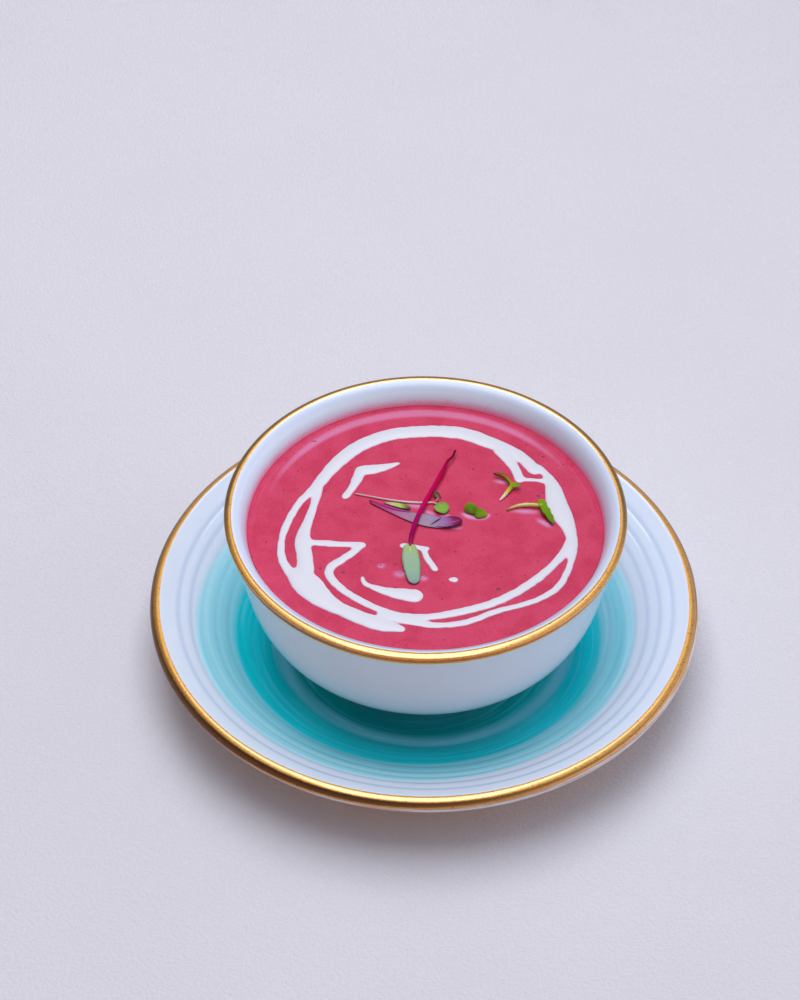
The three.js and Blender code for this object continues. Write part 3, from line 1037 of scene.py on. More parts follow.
def arc(centre: tuple[float, float], radius: float, start: float, end: float, count: int) -> np.ndarray:
    """Points on a circle's arc in the profile plane, between two angles in degrees."""
    angles = np.radians(np.linspace(start, end, count))
    return np.array(centre) + radius * np.stack([np.cos(angles), np.sin(angles)], axis=1)


def rounded(corners: list[tuple[float, float]], radius: float, count: int = 4) -> np.ndarray:
    """Rounds the inner corners of a line.

    Args:
        corners: The line's corners.
        radius: How far from a corner its curve starts, where both of its sides are long enough.
        count: How many points each curve has.

    Returns:
        Points along the line.
    """
    rows = np.array(corners, float)
    parts = [rows[:1]]
    for before, corner, after in zip(rows[:-2], rows[1:-1], rows[2:]):
        near = corner + (before - corner) * min(radius / np.linalg.norm(before - corner), CORNER_SHARE)
        far = corner + (after - corner) * min(radius / np.linalg.norm(after - corner), CORNER_SHARE)
        parts.append(bezier([near, corner, far], count))
    return np.vstack([*parts, rows[-1:]])


def circle(count: int) -> np.ndarray:
    """Angles of even steps round a circle."""
    return np.linspace(0, math.tau, count, endpoint=False)


def ringwise(values: np.ndarray, count: int) -> np.ndarray:
    """Gives each ring's value to all the places in it."""
    return np.repeat(values[:, None], count, axis=1)


def turned(profile: np.ndarray, segments: int) -> np.ndarray:
    """Turns a profile of radius and height round the upright axis.

    Args:
        profile: The profile's points.
        segments: How many points a ring has.

    Returns:
        Points by ring, place in the ring and axis.
    """
    radius, angle = np.meshgrid(profile[:, 0], circle(segments), indexing="ij")
    height = ringwise(profile[:, 1], segments)
    return np.stack([radius * np.cos(angle), radius * np.sin(angle), height], axis=-1)


def loft(rings: np.ndarray, values: dict[Value, np.ndarray]) -> Patch:
    """Skins a row of rings and closes both ends with a fan round their middle.

    Args:
        rings: Points by ring, place in the ring and axis.
        values: Values by ring and place in the ring.

    Returns:
        The closed patch.
    """
    count, size, _ = rings.shape
    here = np.arange(count * size).reshape(count, size)
    aside = np.roll(here, -1, axis=1)
    quads = np.stack([here[:-1], aside[:-1], aside[1:], here[1:]], axis=-1).reshape(-1, 4)
    hubs = ringwise(np.arange(2) + count * size, size)
    start = np.stack([hubs[0], aside[0], here[0]], axis=-1)
    end = np.stack([hubs[1], here[-1], aside[-1]], axis=-1)
    faces = [tuple(row) for part in (quads, start, end) for row in part.tolist()]
    points = np.vstack([rings.reshape(-1, 3), rings[[0, -1]].mean(axis=1)])
    spread = {
        name: np.concatenate([table.ravel(), table[[0, -1]].mean(axis=1)])
        for name, table in values.items()
    }
    return Patch(points, faces, spread)


def merged(patches: list[Patch]) -> Patch:
    """Puts patches into one.

    Args:
        patches: The patches. A value that one of them lacks is 0 on it.

    Returns:
        One patch with all their points, faces and values.
    """
    starts = np.cumsum([0] + [len(patch.points) for patch in patches]).tolist()
    faces = [tuple(i + start for i in face) for patch, start in zip(patches, starts) for face in patch.faces]
    values = {}
    for name in sorted({name for patch in patches for name in patch.values}):
        rows = [patch.values.get(name, np.zeros(len(patch.points))) for patch in patches]
        values[name] = np.concatenate(rows)
    return Patch(np.vstack([patch.points for patch in patches]), faces, values)


def make_piece(
    name: str,
    parts: list[tuple[Patch, bpy.types.Material]],
    nodes: tuple[str, ...] = (),
) -> bpy.types.Object:
    """Makes one object of the model from patches and ties it to the frame.

    Args:
        name: The piece's name.
        parts: Patches, each with its material.
        nodes: The solids that it stands for.

    Returns:
        The new object.
    """
    mesh = bpy.data.meshes.new(name)
    whole = merged([patch for patch, _ in parts])
    mesh.from_pydata((whole.points * MM).tolist(), [], whole.faces)
    materials = list(dict.fromkeys(material for _, material in parts))
    for material in materials:
        mesh.materials.append(material)
    indices = [materials.index(material) for patch, material in parts for _ in patch.faces]
    mesh.polygons.foreach_set("material_index", indices)
    mesh.polygons.foreach_set("use_smooth", [True] * len(whole.faces))
    for value, row in whole.values.items():
        attribute = mesh.attributes.new(value.value, "FLOAT", "POINT")
        attribute.data.foreach_set("value", row.astype(np.float32))
    shell = bmesh.new()
    shell.from_mesh(mesh)
    bmesh.ops.recalc_face_normals(shell, faces=shell.faces)
    shell.to_mesh(mesh)
    shell.free()
    piece = bpy.data.objects.new(name, mesh)
    bpy.context.scene.collection.objects.link(piece)
    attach(piece, BODY)
    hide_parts(*nodes)
    return piece


@dataclass
class Saucer:
    """Saucer with a straight flange, thrown rings, a rolled gold rim and a foot ring."""

    radius: float = 80.0
    rim_thickness: float = 4.8
    bead_height: float = 21.0
    bead_steps: int = 28
    slope: float = 0.53
    flange_step: float = 0.25
    fillet_radius: float = 47.0
    fillet_steps: int = 12
    well_height: float = 5.5
    well_radius: float = 40.0
    well_rings: tuple[float, ...] = (30.0, 15.0)
    base_height: float = 1.8
    foot_inner: float = 41.0
    foot_outer: float = 45.2
    foot_draft: float = 0.7
    foot_height: float = 2.6
    foot_rounding: float = 0.6
    hub: float = 0.5
    segments: int = 240
    ring_first: float = 72.1
    ring_pitch: float = 3.6
    ring_count: int = 7
    ring_depth: float = 0.24
    ring_fade: float = 0.5
    ring_width: float = 0.72
    ring_drift: float = 0.4
    ring_turn: Span = (-0.8, 0.8)
    finish: SaucerFinish = SaucerFinish(
        "saucer_glaze",
        GoldLustre(
            inner=-0.43,
            outer=3.3,
            sway=1.05,
            sway_way=195.0,
            shade=shown(110, 74, 50),
            shade_span=(1.3, 1.75),
            overtone=shown(70, 48, 36),
            edge=shown(206, 142, 76),
            edge_span=(0.45, 0.75),
            edge_reach=(4.0, 4.4),
            low_metallic=0.86,
            dim_reflection_span=(0.5, 1.6),
            dim_reflection_strength=0.85,
            shade_least=0.55,
            inner_sway=0.35,
        ),
    )

    def build(self) -> bpy.types.Object:
        """Makes the saucer and dresses it."""
        return make_piece("saucer_ware", [(self.shape(), self.finish.material())], ("saucer",))

    def shape(self) -> Patch:
        """Turns the profile and presses the rings into its flange.

        Returns:
            The saucer's closed skin.
        """
        profile, crest, top_start = self.profile()
        rings = turned(profile, self.segments)
        upper = ringwise((np.arange(len(profile)) >= top_start).astype(float), self.segments)
        depth = upper * self.grooves(rings[..., 0], rings[..., 1])
        rings[..., 2] -= depth
        run = run_length(profile)
        values = {
            Value.RIM: ringwise(run[crest] - run, self.segments),
            Value.TOP: upper,
            # How deep each place lies in a groove, for the painted shade there
            Value.TINT: np.clip(depth / self.ring_depth, 0, 1),
        }
        return loft(rings, values)

    def grooves(self, x: np.ndarray, y: np.ndarray) -> np.ndarray:
        """Lays out the thrown rings, each a little off the axis and shallower inwards.

        Args:
            x: Places along X.
            y: Places along Y.

        Returns:
            The rings' depth at these places.
        """
        radius = np.hypot(x, y)
        angle = np.arctan2(y, x)
        draw = np.random.default_rng(SEED)
        depth = np.zeros_like(x)
        for i in range(self.ring_count):
            turn = draw.uniform(*self.ring_turn)
            middle = self.ring_first - i * self.ring_pitch + self.ring_drift * np.cos(angle - turn)
            fade = 1 - self.ring_fade * i / self.ring_count
            depth += self.ring_depth * fade * np.exp(-(((radius - middle) / self.ring_width) ** 2))
        return depth

    def profile(self) -> tuple[np.ndarray, int, int]:
        """Draws the outline from the axis underneath to the axis on top.

        Returns:
            The outline, the place of the rim's crest in it, and where its upper face starts.
        """
        lean = math.degrees(math.atan(self.slope))
        bead_radius = self.rim_thickness / 2
        bead_centre = (self.radius - bead_radius, self.bead_height)
        bead = arc(bead_centre, bead_radius, lean - 90, lean + 90, self.bead_steps)
        under, over = bead[0], bead[-1]
        shoulder = np.array((self.foot_outer + self.foot_draft, self.foot_height))
        corners = [
            (self.hub, self.base_height),
            (self.foot_inner * FLAT_SHARE, self.base_height),
            (self.foot_inner - self.foot_draft, self.base_height),
            (self.foot_inner, 0.0),
            (self.foot_outer, 0.0),
            tuple(shoulder),
            tuple((shoulder + under) / 2),
        ]
        foot = rounded(corners, self.foot_rounding)
        steps = int((over[0] - self.fillet_radius) / self.flange_step)
        along = np.linspace(over[0], self.fillet_radius, steps)
        flange = np.stack([along, over[1] - (over[0] - along) * self.slope], axis=1)
        fold = (over[0] - (over[1] - self.well_height) / self.slope, self.well_height)
        fillet = bezier([tuple(flange[-1]), fold, (self.well_radius, self.well_height)], self.fillet_steps)
        well = [(radius, self.well_height) for radius in (*self.well_rings, self.hub)]
        outline = np.vstack([foot, bead, flange[1:], fillet[1:], well])
        return outline, len(foot) + int(np.argmax(bead[:, 1])), len(foot) + len(bead)


@dataclass
class Bowl:
    """Bowl with one curved wall, a gold lip that is rounded off inwards, and a foot ring."""

    foot_inner: float = 27.2
    foot_outer: float = 30.8
    foot_chamfer: float = 0.6
    foot_height: float = 5.5
    foot_rounding: float = 0.5
    underside: float = 9.6
    floor: float = 14.3
    wall: float = 4.3
    wall_steps: int = 60
    shoulder: tuple[float, float] = (31.5, 11.2)
    belly: tuple[float, float] = (56.3, 23.7)
    waist: tuple[float, float] = (49.4, 33.2)
    edge: tuple[float, float] = (56.95, 55.4)
    lip: Keys = (
        (56.95, 55.4), (57.09, 56.0), (57.13, 56.36), (57.08, 56.6), (56.88, 56.76), (56.35, 56.99),
        (55.75, 57.12), (55.15, 57.05), (54.6, 56.86),
    )
    lip_steps: int = 41
    rounding: Keys = (
        (54.6, 56.86), (53.7, 56.46), (52.9, 55.8), (52.2, 54.75), (51.6, 53.4), (51.15, 52.0), (50.8, 50.6),
    )
    rounding_steps: int = 43
    straight_steps: int = 6
    inner_steps: int = 200
    inner_top: float = 0.85
    hub: float = 0.5
    segments: int = 240
    finish: BowlFinish = BowlFinish(
        "bowl_glaze",
        GoldLustre(
            inner=-0.55,
            outer=4.2,
            sway=0.5,
            sway_way=200.0,
            # The lip's low band, a painted reflection of the surroundings
            shade=shown(220, 116, 14),
            shade_span=(1.7, 2.15),
            overtone=shown(188, 96, 12),
            edge=shown(255, 196, 76),
            edge_span=(0.6, 0.9),
            edge_reach=(9.0, 9.4),
            low_metallic=0.6,
            dim_reflection_span=(-0.3, 0.7),
            deep_strength=0.9,
        ),
    )

    def build(self) -> bpy.types.Object:
        """Makes the bowl and dresses it."""
        return make_piece("bowl_ware", [(self.shape(), self.finish.material())], ("bowl",))

    def outer_wall(self, count: int) -> np.ndarray:
        """The outside, from the shoulder just above the foot up to the lip."""
        return bezier([self.shoulder, self.belly, self.waist, self.edge], count)

    def inside(self) -> np.ndarray:
        """Draws the inside from the lip down to the axis.

        Returns:
            Points of radius and height.
        """
        outer = self.outer_wall(self.inner_steps)
        along = unit(np.gradient(outer, axis=0))
        inner = outer + np.stack([-along[:, 1], along[:, 0]], axis=1) * self.wall
        kept = inner[: int(self.inner_steps * self.inner_top)][::-1]
        rounding = curve_through(self.rounding, self.rounding_steps)
        straight = np.linspace(rounding[-1], kept[0], self.straight_steps)
        wall = kept[np.linspace(0, len(kept) - 1, self.wall_steps).astype(int)]
        base = [(radius, self.floor) for radius in (kept[-1][0] * FLAT_SHARE, self.hub)]
        return np.vstack([rounding, straight[1:], wall[1:], base])

    def shape(self) -> Patch:
        """Turns the profile.

        Returns:
            The bowl's closed skin.
        """
        wall = self.outer_wall(self.wall_steps)
        corners = [
            (self.hub, self.underside),
            (self.foot_inner * FLAT_SHARE, self.underside),
            (self.foot_inner - self.foot_chamfer, self.underside),
            (self.foot_inner, self.foot_height),
            (self.foot_outer, self.foot_height),
            (self.foot_outer + self.foot_chamfer, self.foot_height + self.foot_chamfer),
            self.shoulder,
            tuple(wall[1]),
        ]
        outside = np.vstack([rounded(corners, self.foot_rounding), wall[2:-1]])
        lip = curve_through(self.lip, self.lip_steps)
        profile = np.vstack([outside, lip, self.inside()[1:]])
        run = run_length(profile)
        crest = len(outside) + int(np.argmax(lip[:, 1]))
        return loft(turned(profile, self.segments), {Value.RIM: ringwise(run[crest] - run, self.segments)})


@dataclass
class Soup:
    """The soup up to its level, rounded off towards the wall, with specks and small bubbles.

    A pale patch's row is its x, y, half length, half width, turn in degrees and strength; the patches are
    partly thin cream and partly painted reflections of the light. The rows of specks and bubbles are x, y
    and width.
    """

    bowl: Bowl
    level: float = 51.1
    edge_radius: float = 50.86
    meniscus: float = 0.2
    meniscus_reach: float = 0.35
    swell: float = 0.1
    swell_span: Span = (44.4, 48.0)
    drop: float = 0.9
    drop_span: Span = (47.9, 51.2)
    drop_side: Span = (-0.5, 0.1)
    ripple: float = 0.006
    ripples: Keys = ((0.5, 0.31, -0.27, 2.6708), (-0.5, 0.31, 0.27, 1.8708), (0.6, 0.83, -0.55, 0.0))
    wall_gap: float = 0.3
    wall_depth: float = 1.0
    wall_least: float = 0.1
    segments: int = 240
    step: float = 0.4
    # Pale patches round the sprouts: partly thin cream, partly painted reflections of the light
    film_and_glint_patches: Keys = (
        (12.2, 3.5, 1.9, 0.8, -30.0, 0.95),
        (14.8, 2.7, 2.2, 0.6, -4.0, 0.95),
        (17.5, 3.5, 1.3, 0.6, 40.0, 0.85),
        (22.1, 17.8, 2.1, 0.75, -8.0, 0.7),
        (28.5, 5.8, 3.9, 0.85, -3.0, 0.7),
        (34.0, 1.1, 2.6, 0.85, -35.0, 0.75),
        (8.8, -1.3, 1.5, 0.6, 6.0, 0.75),
        (-2.8, 7.4, 2.9, 1.0, -12.0, 0.6),
        (1.3, 4.5, 1.7, 0.8, -30.0, 0.65),
        (5.7, 3.6, 1.2, 0.7, 0.0, 0.6),
        (-12.1, -16.9, 1.1, 0.8, 20.0, 0.6),
        (-6.9, -20.0, 1.6, 1.2, -10.0, 0.55),
        (-0.3, -21.5, 1.1, 0.9, 0.0, 0.6),
    )
    patch_sharpness: float = 1.5
    # A painted reflection of the light: a pale arc on the soup along the back wall
    arc_radius: float = 46.6
    arc_width: float = 1.45
    arc_sharpness: float = 4.0
    arc_middle: float = 97.0
    arc_half: float = 72.0
    arc_taper: float = 0.65
    arc_taper_power: float = 1.5
    arc_fade: float = 0.55
    arc_strength: float = 0.43
    specks: Keys = (
        (-29.2, -18.2, 0.7), (-22.7, -19.7, 0.8), (-40.5, 5.5, 0.6), (-29.0, 13.0, 0.5), (20.6, -25.2, 1.1),
        (32.4, 12.2, 0.8), (34.4, 28.7, 0.6), (39.9, 25.3, 0.45), (8.6, -10.8, 0.5), (31.9, -14.0, 0.55),
        (16.4, -10.0, 0.5), (12.8, 12.9, 0.65), (13.7, 23.0, 0.7), (-18.2, -16.0, 0.6), (-8.1, -16.1, 0.6),
        (10.4, -16.1, 0.4), (13.4, -19.6, 0.4), (-13.9, -10.3, 0.4), (-16.1, -4.4, 0.4), (-14.8, -1.0, 0.4),
    )
    speck_rise: float = 0.12
    loose_specks: int = 150
    loose_radius: float = 48.0
    loose_size: Span = (0.12, 0.3)
    bubbles: Keys = (
        (-33.0, 34.0, 1.2), (-12.2, -16.4, 0.7), (-11.4, -16.9, 0.5), (-6.9, -19.4, 0.8), (-5.8, -19.9, 0.6),
        (-6.2, -18.7, 0.5), (-0.6, -21.1, 0.7), (0.2, -20.6, 0.5), (-38.5, 17.5, 0.5), (38.5, 24.0, 0.5),
    )
    bubble_rise: float = 0.32
    bit_sides: int = 12
    bit_steps: int = 7
    bit_tilt: Span = (-1.2, 1.45)
    bit_lumps: Keys = ((0.22, 2), (0.1, 3))
    bit_turn: Span = (0.0, 6.0)
    finish: SoupFinish = SoupFinish("soup")
    speck_finish: BitFinish = BitFinish("soup_speck", shown(116, 26, 52), shown(70, 18, 36), 0.3)
    bubble_finish: BitFinish = BitFinish("soup_bubble", shown(226, 140, 188), shown(160, 90, 152), 0.1)

    def build(self) -> list[bpy.types.Object]:
        """Makes the soup, its specks and its bubbles, and dresses them.

        Returns:
            The three pieces.
        """
        fill = make_piece("soup_fill", [(self.shape(), self.finish.material())], ("soup",))
        dark = self.speck_finish.material()
        pale = self.bubble_finish.material()
        specks = make_piece("soup_specks", [(self.speck_shape(), dark)])
        bubbles = make_piece("soup_bubbles", [(self.bubble_shape(), pale)])
        return [fill, specks, bubbles]

    def surface(self, x: np.ndarray, y: np.ndarray) -> np.ndarray:
        """Finds the soup's surface, which swells near the wall and drops to it at the back and sides.

        Args:
            x: Places along X.
            y: Places along Y.

        Returns:
            The height at these places.
        """
        radius = np.hypot(x, y)
        swell = self.swell * smooth_rise(radius, *self.swell_span)
        backward = smooth_rise(y / np.maximum(radius, 1.0), *self.drop_side)
        drop = self.drop * smooth_rise(radius, *self.drop_span) * backward
        wall = self.meniscus * np.exp((radius - self.edge_radius) / self.meniscus_reach)
        return self.level + swell - drop + wall + self.ripple * waves(x, y, self.ripples)

    def film(self, x: np.ndarray, y: np.ndarray) -> np.ndarray:
        """Lays out the pale colour: patches by the sprouts and a painted arc of reflection by the back wall.

        Args:
            x: Places along X.
            y: Places along Y.

        Returns:
            How pale these places are, from 0 to 1.
        """
        share = np.zeros_like(x)
        for middle_x, middle_y, half_length, half_width, degrees, strength in self.film_and_glint_patches:
            angle = math.radians(degrees)
            along = (x - middle_x) * math.cos(angle) + (y - middle_y) * math.sin(angle)
            aside = (y - middle_y) * math.cos(angle) - (x - middle_x) * math.sin(angle)
            spread = (along / half_length) ** 2 + (aside / half_width) ** 2
            share = np.maximum(share, strength * np.exp(-(spread ** self.patch_sharpness)))
        turn = np.abs((np.degrees(np.arctan2(y, x)) - self.arc_middle + 180) % 360 - 180)
        taper = np.clip(turn / self.arc_half, 0, 1) ** self.arc_taper_power
        width = self.arc_width * (1 - self.arc_taper * taper)
        ring = np.exp(-(np.abs((np.hypot(x, y) - self.arc_radius) / width) ** self.arc_sharpness))
        fade = 1 - smooth_rise(turn, self.arc_half * self.arc_fade, self.arc_half)
        return np.maximum(share, self.arc_strength * ring * fade)

    def shape(self) -> Patch:
        """Fills the bowl and gives the filling its upper surface.

        Returns:
            The soup's closed skin.
        """
        side = self.bowl.inside()[::-1] + [-self.wall_gap, self.wall_gap]
        side = side[(side[:, 1] < self.level - self.wall_depth) & (side[:, 0] > self.wall_least)]
        count = int(self.edge_radius / self.step)
        radii = np.linspace(self.edge_radius, self.bowl.hub, count)
        top = np.stack([radii, np.full(count, self.level)], axis=1)
        rings = turned(np.vstack([side, top]), self.segments)
        upper = rings[len(side):]
        upper[..., 2] = self.surface(upper[..., 0], upper[..., 1])
        film = np.zeros(rings.shape[:2])
        # How pale each place is: partly thin cream, partly painted reflections
        film[len(side):] = self.film(upper[..., 0], upper[..., 1])
        return loft(rings, {Value.FILM_AND_GLINT: film})

    def bit(self, x: float, y: float, size: float, rise: float, draw: np.random.Generator) -> Patch:
        """Makes a small uneven lens on the surface, with a tint of its own.

        Args:
            x: Where its middle is, along X.
            y: Where its middle is, along Y.
            size: Its width.
            rise: Its height as a share of its width.
            draw: Where its tint and its unevenness come from.

        Returns:
            The closed lens.
        """
        tint = draw.uniform(0, 1)
        angles = circle(self.bit_sides)
        lumps = sum(
            part * np.sin(count * angles + draw.uniform(*self.bit_turn)) for part, count in self.bit_lumps
        )
        tilt = np.linspace(*self.bit_tilt, self.bit_steps)[:, None]
        radius = size / 2 * np.cos(tilt) * (1 + lumps)
        height = size * rise * np.sin(tilt) * np.ones_like(radius)
        base = float(self.surface(np.array(x), np.array(y)))
        rings = np.stack([x + radius * np.cos(angles), y + radius * np.sin(angles), base + height], axis=-1)
        return loft(rings, {Value.TINT: np.full(radius.shape, tint)})

    def speck_shape(self) -> Patch:
        """Lays out dark specks: the large ones where they lie, and a seeded scatter of fine ones.

        Returns:
            All the specks.
        """
        draw = np.random.default_rng(SEED + 1)
        radius = self.loose_radius * np.sqrt(draw.uniform(0, 1, self.loose_specks))
        angle = draw.uniform(0, math.tau, self.loose_specks)
        sizes = draw.uniform(*self.loose_size, self.loose_specks)
        loose = np.stack([radius * np.cos(angle), radius * np.sin(angle), sizes], axis=1)
        rows = np.vstack([np.array(self.specks), loose])
        return merged([self.bit(x, y, size, self.speck_rise, draw) for x, y, size in rows])

    def bubble_shape(self) -> Patch:
        """Small bubbles at the surface."""
        draw = np.random.default_rng(SEED + 2)
        return merged([self.bit(x, y, size, self.bubble_rise, draw) for x, y, size in self.bubbles])


@dataclass
class Cream:
    """One patch of cream: the solid's outline and height, smoothed and sunk a little into the soup."""

    node: str
    soup: Soup
    cell: float = 0.24
    margin: float = 1.5
    blur: float = 0.52
    height_blur: float = 0.78
    blur_reach: float = 3.0
    cover_line: float = 0.5
    dome_cover: float = 0.45
    flatten: float = 0.75
    lift: float = 0.02
    sink: float = 0.15
    ragged: float = 0.06
    ragged_x: Keys = ((1.0, 1.3, 0.6, 0.0), (0.7, -0.8, 2.3, 0.0))
    ragged_y: Keys = ((1.0, -0.7, 1.2, 0.0), (0.7, 1.9, 1.1, 0.0))
    probe_height: float = 10.0

    def build(self, material: bpy.types.Material) -> bpy.types.Object:
        """Makes the patch and dresses it."""
        return make_piece(self.node + "_top", [(self.shape(), material)], (self.node,))

    def heights(self, x: np.ndarray, y: np.ndarray) -> np.ndarray:
        """Probes the solid from above on a grid that is bent a little, so that its outline turns ragged.

        Args:
            x: The grid's places along X.
            y: The grid's places along Y.

        Returns:
            Height of the solid's top over the soup's level, and 0 beside the solid.
        """
        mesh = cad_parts[self.node].data
        corners = [vertex.co / MM for vertex in mesh.vertices]
        tree = BVHTree.FromPolygons(corners, [tuple(face.vertices) for face in mesh.polygons])
        bent_x = x + self.ragged * waves(x, y, self.ragged_x)
        bent_y = y + self.ragged * waves(x, y, self.ragged_y)
        found = np.zeros_like(x)
        for i in np.ndindex(x.shape):
            start = Vector((bent_x[i], bent_y[i], self.soup.level + self.probe_height))
            spot, _, _, _ = tree.ray_cast(start, Vector((0, 0, -1)))
            if spot is not None:
                found[i] = spot.z - self.soup.level
        return found

    def blurred(self, grid: np.ndarray, width: float) -> np.ndarray:
        """Softens a grid.

        Args:
            grid: The grid's values.
            width: How far a value spreads, in millimetres.

        Returns:
            The softened values.
        """
        reach = int(self.blur_reach * width / self.cell) + 1
        weights = np.exp(-0.5 * (np.arange(-reach, reach + 1) * self.cell / width) ** 2)
        weights /= weights.sum()
        rows = np.apply_along_axis(np.convolve, 0, grid, weights, "same")
        return np.apply_along_axis(np.convolve, 1, rows, weights, "same")

    def shape(self) -> Patch:
        """Makes the cream's upper skin over its outline, closed underneath the soup's surface.

        Returns:
            The closed skin.
        """
        low, high = (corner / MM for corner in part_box(self.node))
        xs = np.arange(low.x - self.margin, high.x + self.margin, self.cell)
        ys = np.arange(low.y - self.margin, high.y + self.margin, self.cell)
        x, y = np.meshgrid(xs, ys, indexing="ij")
        raw = self.heights(x, y)
        cover = self.blurred((raw > 0).astype(float), self.blur)
        thick = self.blurred(raw, self.height_blur)
        return self.closed(*self.outline(np.stack([x, y, cover, thick], axis=-1)))

    def outline(
        self, table: np.ndarray
    ) -> tuple[np.ndarray, list[tuple[int, ...]], list[tuple[int, int]]]:
        """Cuts the grid along the line where half of it is covered.

        Args:
            table: The grid's x, y, share of cream and softened thickness.

        Returns:
            Rows of x, y, cover and thickness; faces; and the border's edges.
        """
        index: dict[tuple[int, ...], int] = {}
        rows: list[tuple[float, ...]] = []
        faces = []
        border = []

        def point(key: tuple[int, ...]) -> int:
            """Finds a point of the outline, or adds it.

            Args:
                key: The place in the grid, or the two places that it lies between.

            Returns:
                The point's row.
            """
            if key not in index:
                index[key] = len(rows)
                if len(key) == 2:
                    rows.append(tuple(table[key]))
                else:
                    first, second = table[key[:2]], table[key[2:]]
                    share = (self.cover_line - first[2]) / (second[2] - first[2])
                    rows.append(tuple(first + (second - first) * share))
            return index[key]

        inside = table[..., 2] > self.cover_line
        touched = inside[:-1, :-1] | inside[1:, :-1] | inside[1:, 1:] | inside[:-1, 1:]
        for i, j in np.argwhere(touched).tolist():
            ring = [(i, j), (i + 1, j), (i + 1, j + 1), (i, j + 1)]
            face = []
            leaving = []
            for here, there in zip(ring, ring[1:] + ring[:1]):
                if inside[here]:
                    face.append(point(here))
                if inside[here] != inside[there]:
                    if inside[here]:
                        leaving.append(len(face))
                    face.append(point((*min(here, there), *max(here, there))))
            faces.append(tuple(face))
            border += [(face[place], face[(place + 1) % len(face)]) for place in leaving]
        return np.array(rows), faces, border

    def closed(
        self, rows: np.ndarray, faces: list[tuple[int, ...]], border: list[tuple[int, int]]
    ) -> Patch:
        """Lifts the outline into a domed skin and closes it with a wall and a base below the surface.

        Args:
            rows: Rows of x, y, cover and thickness.
            faces: The outline's faces.
            border: The edges round them.

        Returns:
            The closed skin.
        """
        share = np.clip((rows[:, 2] - self.cover_line) / self.dome_cover, 0, 1)
        dome = np.sqrt(1 - (1 - share) ** 2)
        x, y = rows[:, 0], rows[:, 1]
        level = self.soup.surface(x, y)
        top = np.stack([x, y, level + self.lift + dome * rows[:, 3] * self.flatten], axis=1)
        base = np.stack([x, y, level - self.sink], axis=1)
        count = len(rows)
        under = [tuple(count + i for i in reversed(face)) for face in faces]
        walls = [(second, first, first + count, second + count) for first, second in border]
        core = np.concatenate([share, np.zeros(count)])
        return Patch(np.vstack([top, base]), faces + under + walls, {Value.CORE: core})


@dataclass(frozen=True)
class Stem:
    """A round stem. Its keys are x, y, height over the soup and diameter."""

    keys: Keys
    finish: StemFinish
    steps: int = 60
    sides: int = 12
    end_steps: float = 2.5
    end_least: float = 0.06
    lumps: Keys = ((0.05, 37.0), (0.03, 83.0))

    def shape(self, level: float) -> Patch:
        """Makes a tapered tube along the keys, with rounded ends.

        Args:
            level: The soup's level.

        Returns:
            The closed tube.
        """
        rows = curve_through(self.keys, self.steps)
        spine = rows[:, :3] + [0, 0, level]
        side, up = sideways(spine)
        share = np.linspace(0, 1, self.steps)
        ends = np.clip(np.minimum(share, 1 - share) * self.steps / self.end_steps, self.end_least, 1)
        uneven = 1 + sum(height * np.sin(share * pitch) for height, pitch in self.lumps)
        radius = rows[:, 3] / 2 * np.sqrt(1 - (1 - ends) ** 2) * uneven
        angles = circle(self.sides)[:, None]
        around = side[:, None] * np.cos(angles) + up[:, None] * np.sin(angles)
        values = {
            Value.ALONG: ringwise(share, self.sides),
            Value.ACROSS: np.repeat(np.cos(angles).T, self.steps, axis=0),
        }
        return loft(spine[:, None] + radius[:, None, None] * around, values)


@dataclass(frozen=True)
class Leaf:
    """A thin leaf. Its keys are x, y, height over the soup and width."""

    keys: Keys
    finish: LeafFinish
    cup: float = 0.1
    roll: float = 0.0
    thickness: float = 0.4
    thinning: float = 4.0
    steps: int = 56
    halves: int = 9
    round_start: float = 0.08
    round_end: float = 0.12
    end_least: float = 0.02
    rib_depth: float = 0.06
    rib_width: float = 0.16
    wave: float = 0.0
    wave_count: float = 4.0

    def shape(self, level: float) -> Patch:
        """Makes a closed blade with rounded ends, a pressed midrib and wavy edges.

        Args:
            level: The soup's level.

        Returns:
            The closed blade.
        """
        rows = curve_through(self.keys, self.steps)
        spine = rows[:, :3] + [0, 0, level]
        level_side, plain_up = sideways(spine)
        roll = math.radians(self.roll)
        side = level_side * math.cos(roll) + plain_up * math.sin(roll)
        up = plain_up * math.cos(roll) - level_side * math.sin(roll)
        share = np.linspace(0, 1, self.steps)[:, None]
        turn = share * self.wave_count * math.tau
        start = np.clip(share / self.round_start, self.end_least, 1)
        end = np.clip((1 - share) / self.round_end, self.end_least, 1)
        half = rows[:, 3:] / 2 * np.sqrt(1 - (1 - start) ** 2) * np.sqrt(1 - (1 - end) ** 2)
        half = half * (1 + self.wave / 2 * np.sin(turn))
        spread = np.sin(np.linspace(-math.pi / 2, math.pi / 2, 2 * self.halves + 1))
        across = np.concatenate([spread, spread[-2:0:-1]])
        face = np.concatenate([np.ones(len(spread)), -np.ones(len(spread) - 2)])
        edge = np.sqrt(np.clip(1 - across ** 2, 0, 1))
        waved = self.wave * np.abs(across) ** 3 * np.sin(turn + np.sign(across))
        lift = half * (self.cup * across ** 2 + waved)
        rib = self.rib_depth * np.exp(-((across / self.rib_width) ** 2)) * (1 - share) * face.clip(0)
        body = face * edge * self.thickness / 2 * np.minimum(1, self.thinning * half / self.thickness)
        outward = side[:, None] * (half * across)[..., None]
        upward = up[:, None] * (lift + body - rib)[..., None]
        values = {
            Value.ALONG: np.repeat(share, len(across), axis=1),
            Value.ACROSS: np.repeat(across[None], self.steps, axis=0),
        }
        return loft(spine[:, None] + outward + upward, values)


